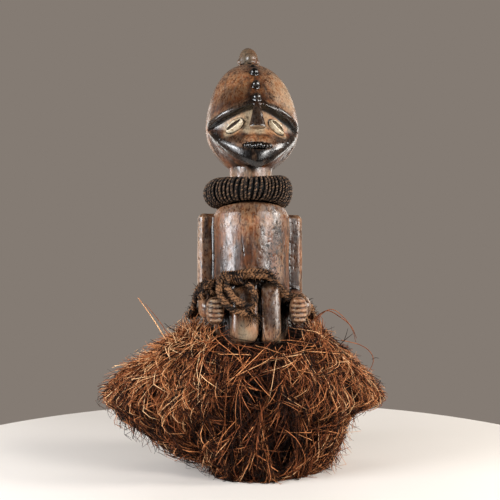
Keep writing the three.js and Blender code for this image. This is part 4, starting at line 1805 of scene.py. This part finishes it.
@dataclass
class Strands:
    """A batch of fibres, ready to be made a mesh."""

    lines: Array
    radii: Array
    tones: Array

    def part(self, chosen: Array) -> "Strands":
        """Only the chosen fibres."""
        return Strands(self.lines[chosen], self.radii[chosen], self.tones[chosen])


@dataclass
class FibreSkirt:
    """A thick bush of root fibre that swells in front and reaches out in a wing at each side."""

    right: Outline = Outline(
        ((189, 67), (160, 107), (124, 159), (98, 180), (76, 166), (47, 128), (31, 108), (21, 62), (9, 52))
    )
    left: Outline = Outline(((189, 80), (154, 111), (119, 151), (96, 168), (67, 132), (32, 116), (1, 90)))
    body: Outline = Outline(((189, 60), (110, 82), (62, 90), (25, 87), (1, 80)))
    front_top: float = 157.0
    side_top: float = 188.0
    hole: float = 49.0
    least: Triple = (-195.5, -106.5, 1.0)
    most: Triple = (176.0, 106.5, 198.0)
    locks: int = 400
    lock_fibres: int = 27
    combed: int = 1500
    hanging: int = 3400
    ends: int = 4200
    rng: np.random.Generator = field(default_factory=lambda: np.random.default_rng(5))
    hollows: tuple = (
        (-132, 100, 16, 14), (24, 38, 14, 24), (116, 90, 15, 15), (-8, 104, 18, 11), (-58, 62, 14, 12),
    )
    twigs: tuple = (
        (((-109, -12, 160), (-127, -14, 189), (-146, -14, 216)), 0.75, 0.9),
        (((-104, -14, 164), (-122, -16, 190), (-138, -15, 209)), 0.5, 0.5),
        (((-92, -20, 170), (-106, -20, 178), (-113, -20, 184)), 0.6, 0.12),
        (((72, -30, 184), (94, -32, 199), (113, -30, 190), (128, -26, 178), (136, -22, 163)), 0.7, 0.45),
        (((76, -34, 186), (98, -36, 201), (117, -34, 189), (129, -30, 172), (133, -28, 158)), 0.55, 0.5),
        (((104, -30, 148), (118, -26, 160), (132, -20, 169)), 0.55, 0.12),
        (((118, -26, 160), (121, -26, 168), (124, -24, 176)), 0.4, 0.1),
        (
            (
                (118, -10, 160), (145, -10, 153), (158, -10, 144),
                (163, -8, 134), (161, -6, 124), (150, -6, 110),
            ),
            0.6, 0.5,
        ),
        (((161, -8, 134), (166, -8, 136), (171, -8, 135)), 0.4, 0.12),
        (((-172, -8, 100), (-184, -8, 104), (-195, -8, 101)), 0.35, 0.45),
        (((-168, -8, 92), (-180, -8, 84), (-182, -6, 72), (-178, -6, 64)), 0.3, 0.1),
        (((96, -58, 132), (99, -64, 118), (102, -66, 102), (100, -66, 88), (94, -68, 80)), 1.5, 0.88),
    )

    def top(self, angle: Array) -> Array:
        """Height of the skirt's upper edge."""
        return blend(self.front_top, self.side_top, ((1 - np.cos(angle)) / 2) ** 0.6)

    def hem(self, angle: Array) -> Array:
        """Height of its lower edge."""
        return blend(self.left.hem, self.right.hem, eased(0.1, 0.5, -np.sin(angle)))

    def bush(self, angle: Array, z: Array) -> Array:
        """Distance of its outside from the axis."""
        sideways = np.sin(angle)
        wing = np.where(sideways < 0, self.right.reach(z), self.left.reach(z))
        bush = blend(self.body.reach(z), wing, np.abs(sideways) ** 2.4)
        locks = 2.4 * np.sin(angle * 13 + z * 0.04) + 1.6 * np.sin(angle * 22 - z * 0.05)
        spots = polar(np.ravel(angle), np.full(np.size(angle), 90.0), np.ravel(z)) + 300.0
        lumps = 4.5 * drift(spots, 26, 93, 2).reshape(np.shape(angle)) - 1
        return bush + (locks + lumps) * eased(60, 90, bush)

    def surface(self, angle: Array, down: Array, depth: Array) -> Array:
        """A point of the skirt.

        Args:
            angle: Angle from the front.
            down: Share of the way from the upper edge to the hem.
            depth: How far inside the outline, in millimetres.

        Returns:
            The points.
        """
        z = blend(self.top(angle), self.hem(angle), down)
        return polar(angle, self.bush(angle, z) - depth, z)

    def headings(
        self, angle: Array, down: Array, way: Array, out: Array | float, flat: Array | float = 1
    ) -> Array:
        """The direction in which fibres set out.

        Args:
            angle: Angle from the front of each one's root.
            down: Share of the way from the upper edge to the hem.
            way: Its angle from straight down, over the skirt's outside.
            out: How strongly it heads outwards.
            flat: How strongly it heads along the outside.

        Returns:
            One direction for each fibre.
        """
        step, deep = 0.01, np.zeros(len(down))
        fall = unit(self.surface(angle, down + step, deep) - self.surface(angle, down - step, deep))
        across = unit(self.surface(angle + step, down, deep) - self.surface(angle - step, down, deep))
        along = fall * np.cos(way)[:, None] + across * np.sin(way)[:, None]
        return np.reshape(flat, (-1, 1)) * along + unit(np.cross(fall, across)) * np.reshape(out, (-1, 1))

    def scatter(self, count: int, low: float, high: float) -> tuple:
        """Places spread evenly over the skirt's outside.

        Args:
            count: How many.
            low: Least share of the way down.
            high: Greatest share of the way down.

        Returns:
            Angles and shares of the way down.
        """
        angle = self.rng.uniform(-math.pi, math.pi, count * 6)
        down = self.rng.uniform(low, high, count * 6)
        reach = self.bush(angle, blend(self.top(angle), self.hem(angle), down))
        chosen = np.flatnonzero(self.rng.uniform(0, 190, count * 6) < reach)[:count]
        return angle[chosen], down[chosen]

    def grow(
        self, start: Array, heading: Array, length: Array, depth: Array,
        hold: float | Array, curl: float, fall: float, points: int, room: float | Array = 1.5,
    ) -> Array:
        """Lets fibres grow step by step, bending a little, and held near the skirt's outside.

        Args:
            start: Where each one begins.
            heading: Its first direction.
            length: Its length.
            depth: How deep inside the outline it would lie.
            hold: How strongly it is drawn to that depth.
            curl: How strongly it bends.
            fall: How strongly it hangs.
            points: Points of each line.
            room: How far outside the outline it may stand before it is turned back.

        Returns:
            The lines.
        """
        count, rng = len(start), self.rng
        step = (length / (points - 1))[:, None]
        spin = rng.normal(size=(count, 3)) * curl
        place, way = start.copy(), unit(heading)
        lines = [place.copy()]
        for _ in range(points - 1):
            angle = np.arctan2(place[:, 0], -place[:, 1])
            past = np.hypot(place[:, 0], place[:, 1]) - self.bush(angle, np.clip(place[:, 2], 2, 187))
            pull = np.clip((past + depth) * hold, -0.6, 0.6) + 0.14 * np.clip(past - room, 0, 12)
            outward = np.stack([np.sin(angle), -np.cos(angle), 0 * angle], axis=1)
            way = unit(way + np.cross(spin, way) * step / 22 + rng.normal(size=(count, 3)) * 0.04)
            way = unit(way - outward * pull[:, None] + (0, 0, -fall))
            spin = spin + rng.normal(size=(count, 3)) * curl * 0.4
            place = place + way * step
            place = np.clip(place, self.least, self.most)
            lines.append(place.copy())
        return np.stack(lines, axis=1)

    def shade(self, start: Array, depth: Array) -> Array:
        """Each fibre's tone: golden on the combed upper left, rust in the middle, darker low down, and
        painted darker with depth as shade inside the bush.

        Args:
            start: Where each fibre begins.
            depth: How deep it lies.

        Returns:
            Tones from 0 to 1.
        """
        x, _, z = start.T
        brown = 0.34 + 0.06 * eased(40, 160, z)
        brown += 0.2 * eased(-40, -120, x) * eased(90, 135, z)
        brown += 0.1 * eased(60, 140, x)
        brown += 0.02 * eased(70, 15, z)
        brown -= 0.06 * eased(-110, -150, x)
        brown -= 0.17 * np.exp(-(((x - 8) / 42) ** 2)) * eased(150, 112, z)
        brown -= 0.07 * eased(-60, -120, x) * eased(104, 84, z)
        # Painted shade: the deeper a fibre lies, the darker.
        brown = brown + 0.06 - 0.045 * np.maximum(depth, 0)
        lumps = 0.2 * drift(start, 20, 95, 2)
        kind = self.rng.uniform(size=len(start))
        kind = np.where(kind < 0.36, -0.24, np.where(kind > 0.76, 0.3, 0))
        return np.clip(brown + lumps + kind + self.rng.normal(0, 0.11, len(start)), 0, 1)

    def opened(self, lines: Array, depth: Array) -> Array:
        """Which fibres stay, so that dark hollows open between the locks."""
        keep = np.ones(len(lines), dtype=bool)
        for x, z, wide, high in self.hollows:
            away = np.hypot((lines[:, :, 0] - x) / wide, (lines[:, :, 2] - z) / high)
            crossing = ((away < 0.85) & (lines[:, :, 1] < 0)).any(axis=1)
            keep &= ~(crossing & (depth < 14) & (self.rng.uniform(size=len(lines)) < 0.8))
        return keep

    def matted_strands(self) -> Strands:
        """The mass of the skirt: locks of fibres that lie together, and single ones across them."""
        rng = self.rng
        angle, down = self.scatter(self.locks, 0, 0.97)
        locks = len(angle)
        way, depth = rng.normal(0, 0.75, locks), np.minimum(rng.exponential(6.5, locks), 17)
        length, shift = rng.uniform(38, 95, locks), rng.normal(0, 0.09, locks)
        angle, down, way, depth, length, shift = (
            np.repeat(each, self.lock_fibres) for each in (angle, down, way, depth, length, shift)
        )
        count = len(angle)
        angle = angle + rng.normal(0, 0.085, count)
        down = np.clip(down + rng.normal(0, 0.05, count), -0.02, 0.99)
        single = rng.uniform(size=count) < 0.36
        way = np.where(single, rng.normal(0, 1.2, count), way + rng.normal(0, 0.24, count))
        depth = depth + rng.normal(0, 2.6, count) + 1
        start = self.surface(angle, down, depth)
        heading = self.headings(angle, down, way, rng.normal(0, 0.07, count))
        length = length * rng.uniform(0.55, 1.25, count)
        hold = np.where(rng.uniform(size=count) < 0.4, 0.004, 0.022)
        lines = self.grow(start, heading, length, depth, hold, 0.08, 0.02, 8)
        keep = self.opened(lines, depth)
        tones = np.clip(self.shade(start, depth) + shift, 0.02, 1)
        radius = rng.uniform(0.3, 0.6, count) + 0.25 * (rng.uniform(size=count) < 0.06)
        return Strands(lines[keep], radius[keep], tones[keep])

    def combed_strands(self) -> Strands:
        """Longer fibres that run together from the waist out along the wings."""
        rng = self.rng
        angle, down = self.scatter(self.combed * 3, 0, 0.42)
        chosen = np.flatnonzero(np.abs(np.sin(angle)) > 0.55)[: self.combed]
        angle, down = angle[chosen], down[chosen]
        depth = np.minimum(rng.exponential(3, len(angle)), 9) + 1
        start = self.surface(angle, down, depth)
        heading = self.headings(angle, down, rng.normal(0, 0.2, len(angle)), 0.05)
        length = rng.uniform(42, 92, len(angle))
        lines = self.grow(start, heading, length, depth, 0.05, 0.1, 0, 10)
        tones = np.clip(self.shade(start, depth) + 0.1, 0, 1)
        return Strands(lines, rng.uniform(0.3, 0.58, len(angle)), tones)

    def hanging_strands(self) -> Strands:
        """Long straight fibres that lie loosely on the bush and cross each other."""
        rng = self.rng
        angle, down = self.scatter(self.hanging, -0.02, 0.85)
        count = len(angle)
        depth = rng.uniform(-3, 4, count)
        start = self.surface(angle, down, depth)
        heading = self.headings(angle, down, rng.normal(0, 0.65, count), rng.uniform(-0.05, 0.16, count))
        length = rng.uniform(40, 120, count)
        lines = self.grow(start, heading, length, depth, 0.018, 0.07, 0.012, 10, 5)
        pale = self.shade(start, 0 * depth) + 0.1
        dark = rng.uniform(size=count) < 0.34
        tones = np.where(dark, rng.uniform(0.02, 0.2, count), np.clip(pale, 0.22, 1))
        keep = self.opened(lines, depth)
        return Strands(lines[keep], rng.uniform(0.26, 0.54, count)[keep], tones[keep])

    def loose_ends(self) -> Strands:
        """Thin ends that stand out of the outline, most of them at the wings' tips and the hem."""
        rng = self.rng
        angle, down = self.scatter(self.ends, 0.02, 1)
        count = len(angle)
        kind = rng.uniform(size=count)
        down = np.where(kind < 0.22, rng.uniform(0.84, 1, count), down)
        beside = kind > 0.36
        angle = np.where(beside, np.sign(angle) * rng.normal(math.pi / 2, 0.2, count), angle)
        down = np.where(beside, rng.uniform(0.04, 1, count) ** 1.2, down)
        rising = (kind > 0.22) & (kind < 0.33)
        angle = np.where(rising, np.sign(angle) * rng.uniform(0.75, 1.8, count), angle)
        down = np.where(rising, rng.uniform(0, 0.1, count), down)
        depth = rng.uniform(1, 9, count)
        start = self.surface(angle, down, depth)
        way = rng.normal(0, 0.8, count) + math.pi * rising
        lift = rng.uniform(0.12, 0.8, count)
        heading = self.headings(angle, down, way, lift, np.sqrt(1 - lift**2))
        sideways = np.sin(angle)
        room = 8 + np.where(sideways < 0, 9, 2) * sideways**4
        room = room + 10 * eased(0.5, 0.85, down) * sideways**2
        reach = depth + room * rng.uniform(0.1, 1, count) ** 2
        length = np.minimum(reach / lift, rng.uniform(24, 60, count))
        lines = self.grow(start, heading, length, depth, 0, 0.07, 0, 5, room)
        # The rising ends at the upper edge are painted lighter, standing in for the light that falls on them.
        tones = np.clip(self.shade(start, 0 * depth) + 0.12 * rising, 0.02, 1)
        return Strands(lines, rng.uniform(0.24, 0.5, count), tones)

    def stray_twigs(self) -> Piece:
        """The long single stalks, straws and twigs that stand clear of the bush."""
        lines, radii, tones = [], [], []
        for route, radius, strand_tone in self.twigs:
            known = smooth_route(list(route), 1)
            share = np.linspace(0, len(known) - 1, 24)
            spots = np.arange(len(known))
            lines.append(np.stack([np.interp(share, spots, column) for column in known.T], axis=1))
            radii.append(radius)
            tones.append(strand_tone)
        return self.mesh("skirt_stray_twigs", Strands(np.array(lines), np.array(radii), np.array(tones)), 6)

    def mesh(self, name: str, strands: Strands, sides: int = 3) -> Piece:
        """Makes a piece of a batch of fibres, each thinning and darkening to its end.

        Args:
            name: The piece's name.
            strands: The fibres.
            sides: Faces round a fibre.

        Returns:
            The finished piece.
        """
        points = strands.lines.shape[1]
        along = np.linspace(0, 1, points)
        taper = 1 - 0.55 * along**3
        made = tubes(name, strands.lines, strands.radii[:, None] * taper[None], sides)
        tones = strands.tones[:, None] - 0.12 * eased(0.7, 1, along)[None]
        tag(made, "strand", np.repeat(tones.ravel(), sides))
        return finish_piece(made, RootFibre(), "fibre_skirt", 180)

    def core(self) -> Piece:
        """The dark matted inside, a ring round the legs that the fibres lie on, its near black standing for
        painted shade.
        """
        ring = {"major_radius": 2, "minor_radius": 1, "major_segments": 260, "minor_segments": 120}
        made = start(bpy.ops.mesh.primitive_torus_add, **ring)
        points = corners(made)
        angle = np.arctan2(points[:, 0], -points[:, 1])
        section = np.arctan2(points[:, 2], np.hypot(points[:, 0], points[:, 1]) - 2)
        outside = np.abs(section) < math.pi / 2
        share = np.where(outside, 0.5 - section / math.pi, (np.abs(section) / math.pi - 0.5) * 2)
        down = np.where(outside, share, np.where(section > 0, 0, 1))
        top, hem = self.top(angle) - 6, self.hem(angle) + 5
        z = blend(top, hem, np.clip(down, 0, 1))
        outer = self.bush(angle, z) - 15
        inner_z = blend(top, hem, 0.5 - 0.5 * np.sin(section))
        ends = eased(0, 0.05, down) * eased(1, 0.95, down)
        radius = np.where(outside, blend(outer * 0.86, outer, ends), self.hole + 1)
        z = np.where(outside, z, inner_z)
        place = polar(angle, np.maximum(radius, self.hole + 1), z)
        rough = 2.6 * drift(place, (7, 7, 14), 97, 3)
        place = place + polar(angle, np.where(outside, rough, 0), 0 * angle)
        put_corners(made, place)
        face_outwards(made)
        made = fuse("skirt_shaded_core", [made])
        # Near black: painted shade inside the bush.
        tag(made, "strand", np.minimum(0.03 + 0.12 * drift(place, (2.2, 2.2, 12), 99, 2), 0.3))
        return finish_piece(made, RootFibre(), "fibre_skirt", 60)

    def build(self) -> list:
        """Models the core and then the fibres, sector by sector.

        Returns:
            The finished pieces.
        """
        made = [self.core()]
        matted = self.matted_strands()
        start = matted.lines[:, 0]
        angle = np.degrees(np.arctan2(start[:, 0], -start[:, 1]))
        sectors = (
            ("skirt_front_right_fibres", -45, 0),
            ("skirt_front_left_fibres", 0, 45),
            ("skirt_right_wing_fibres", -110, -45),
            ("skirt_left_wing_fibres", 45, 110),
            ("skirt_back_right_fibres", -180, -110),
            ("skirt_back_left_fibres", 110, 180),
        )
        for name, low, high in sectors:
            made.append(self.mesh(name, matted.part((angle >= low) & (angle < high))))
        made.append(self.mesh("skirt_combed_fibres", self.combed_strands()))
        made.append(self.mesh("skirt_hanging_fibres", self.hanging_strands()))
        made.append(self.mesh("skirt_loose_ends", self.loose_ends()))
        made.append(self.stray_twigs())
        return made


# The studio.


@dataclass(frozen=True)
class SoftBox:
    """A large soft lamp."""

    at: Triple
    aim: Triple
    size: Pair
    power: float
    colour: Triple

    def build(self, name: str) -> Piece:
        """Hangs the lamp and points it."""
        data = bpy.data.lights.new(name, "AREA")
        data.shape = "RECTANGLE"
        data.size, data.size_y = self.size
        data.energy = self.power
        data.color = self.colour
        made = bpy.data.objects.new(name, data)
        made.location = self.at
        made.rotation_euler = (Vector(self.aim) - Vector(self.at)).to_track_quat("-Z", "Y").to_euler()
        bpy.context.scene.collection.objects.link(made)
        return made


@dataclass
class Studio:
    """The pale floor, the even backdrop, the lamps and the camera."""

    floor_radius: float = 0.5
    lamps: tuple = (
        ("left_softbox", SoftBox((-1.02, -0.42, 0.46), (0, 0, 0.3), (0.6, 0.5), 21.5, (0.95, 0.97, 1))),
        ("right_softbox", SoftBox((0.64, -0.90, 0.56), (0, 0, 0.3), (0.34, 0.5), 12.5, (1, 0.98, 0.95))),
        ("side_softbox", SoftBox((1.05, -0.34, 0.70), (0, 0, 0.4), (0.35, 0.5), 13, (1, 0.97, 0.93))),
        ("left_rim", SoftBox((-0.6, 0.95, 0.5), (0, 0, 0.35), (0.3, 0.9), 3.4, (1, 0.97, 0.92))),
        ("right_rim", SoftBox((0.75, 0.85, 0.5), (0, 0, 0.35), (0.3, 0.9), 3.4, (1, 0.96, 0.9))),
    )
    backdrop: tuple = tone(132, 123, 115)
    room: tuple = tone(34, 32, 30)
    azimuth: float = math.radians(-8.0)
    distance: float = 0.875
    height: float = 0.2185
    pitch: float = math.radians(3.92)
    focal_pixels: float = 664.0
    frame_pixels: float = 500.0
    shift_pixels: float = 1.0

    def shade_world(self, tree: bpy.types.NodeTree) -> None:
        """Paints the backdrop behind the figure, and leaves the room in front of it dim.

        Args:
            tree: The world's node tree.
        """
        way = add_node(tree, "TexCoord", {}).outputs["Generated"]
        ahead = add_node(tree, "SeparateXYZ", {0: way}).outputs["Y"]
        ends = {"From Min": -0.2, "From Max": 0.6}
        share = add_node(tree, "MapRange", {"Value": ahead, **ends}, interpolation_type="SMOOTHSTEP")
        colours = {0: share.outputs["Result"], 6: self.room, 7: self.backdrop}
        mix = add_node(tree, "Mix", colours, data_type="RGBA")
        tree.links.new(mix.outputs[2], tree.nodes["Background"].inputs[0])

    def build(self) -> None:
        """Sets the whole studio up."""
        disc = {"vertices": 128, "radius": self.floor_radius, "fill_type": "NGON"}
        floor = start(bpy.ops.mesh.primitive_circle_add, **disc)
        floor.name = "floor"
        floor.data.materials.append(FloorPaint().material())
        for name, lamp in self.lamps:
            lamp.build(name)
        world = bpy.data.worlds.new("backdrop")
        world.use_nodes = True
        self.shade_world(world.node_tree)
        bpy.context.scene.world = world
        bpy.context.scene.view_settings.view_transform = "Standard"
        data = bpy.data.cameras.new("camera")
        data.sensor_width = 36.0
        data.lens = 36 * self.focal_pixels / self.frame_pixels
        data.shift_x = -self.shift_pixels / self.frame_pixels
        camera = bpy.data.objects.new("camera", data)
        camera.location = (
            math.sin(self.azimuth) * self.distance,
            -math.cos(self.azimuth) * self.distance,
            self.height,
        )
        camera.rotation_euler = (math.pi / 2 + self.pitch, 0, self.azimuth)
        bpy.context.scene.collection.objects.link(camera)
        bpy.context.scene.camera = camera


def main() -> None:
    """Builds the studio and every piece of the figure."""
    logging.basicConfig(level=logging.INFO, format="%(asctime)s %(message)s")
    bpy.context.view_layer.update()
    Studio().build()
    figure = CarvedFigure()
    figure.build()
    for eye in figure.eyes:
        CowrieEye(eye).build()
    NeckCollar().build()
    WaistRope().build()
    FibreSkirt().build()
    log.info("sizes written")


if __name__ == "__main__":
    main()
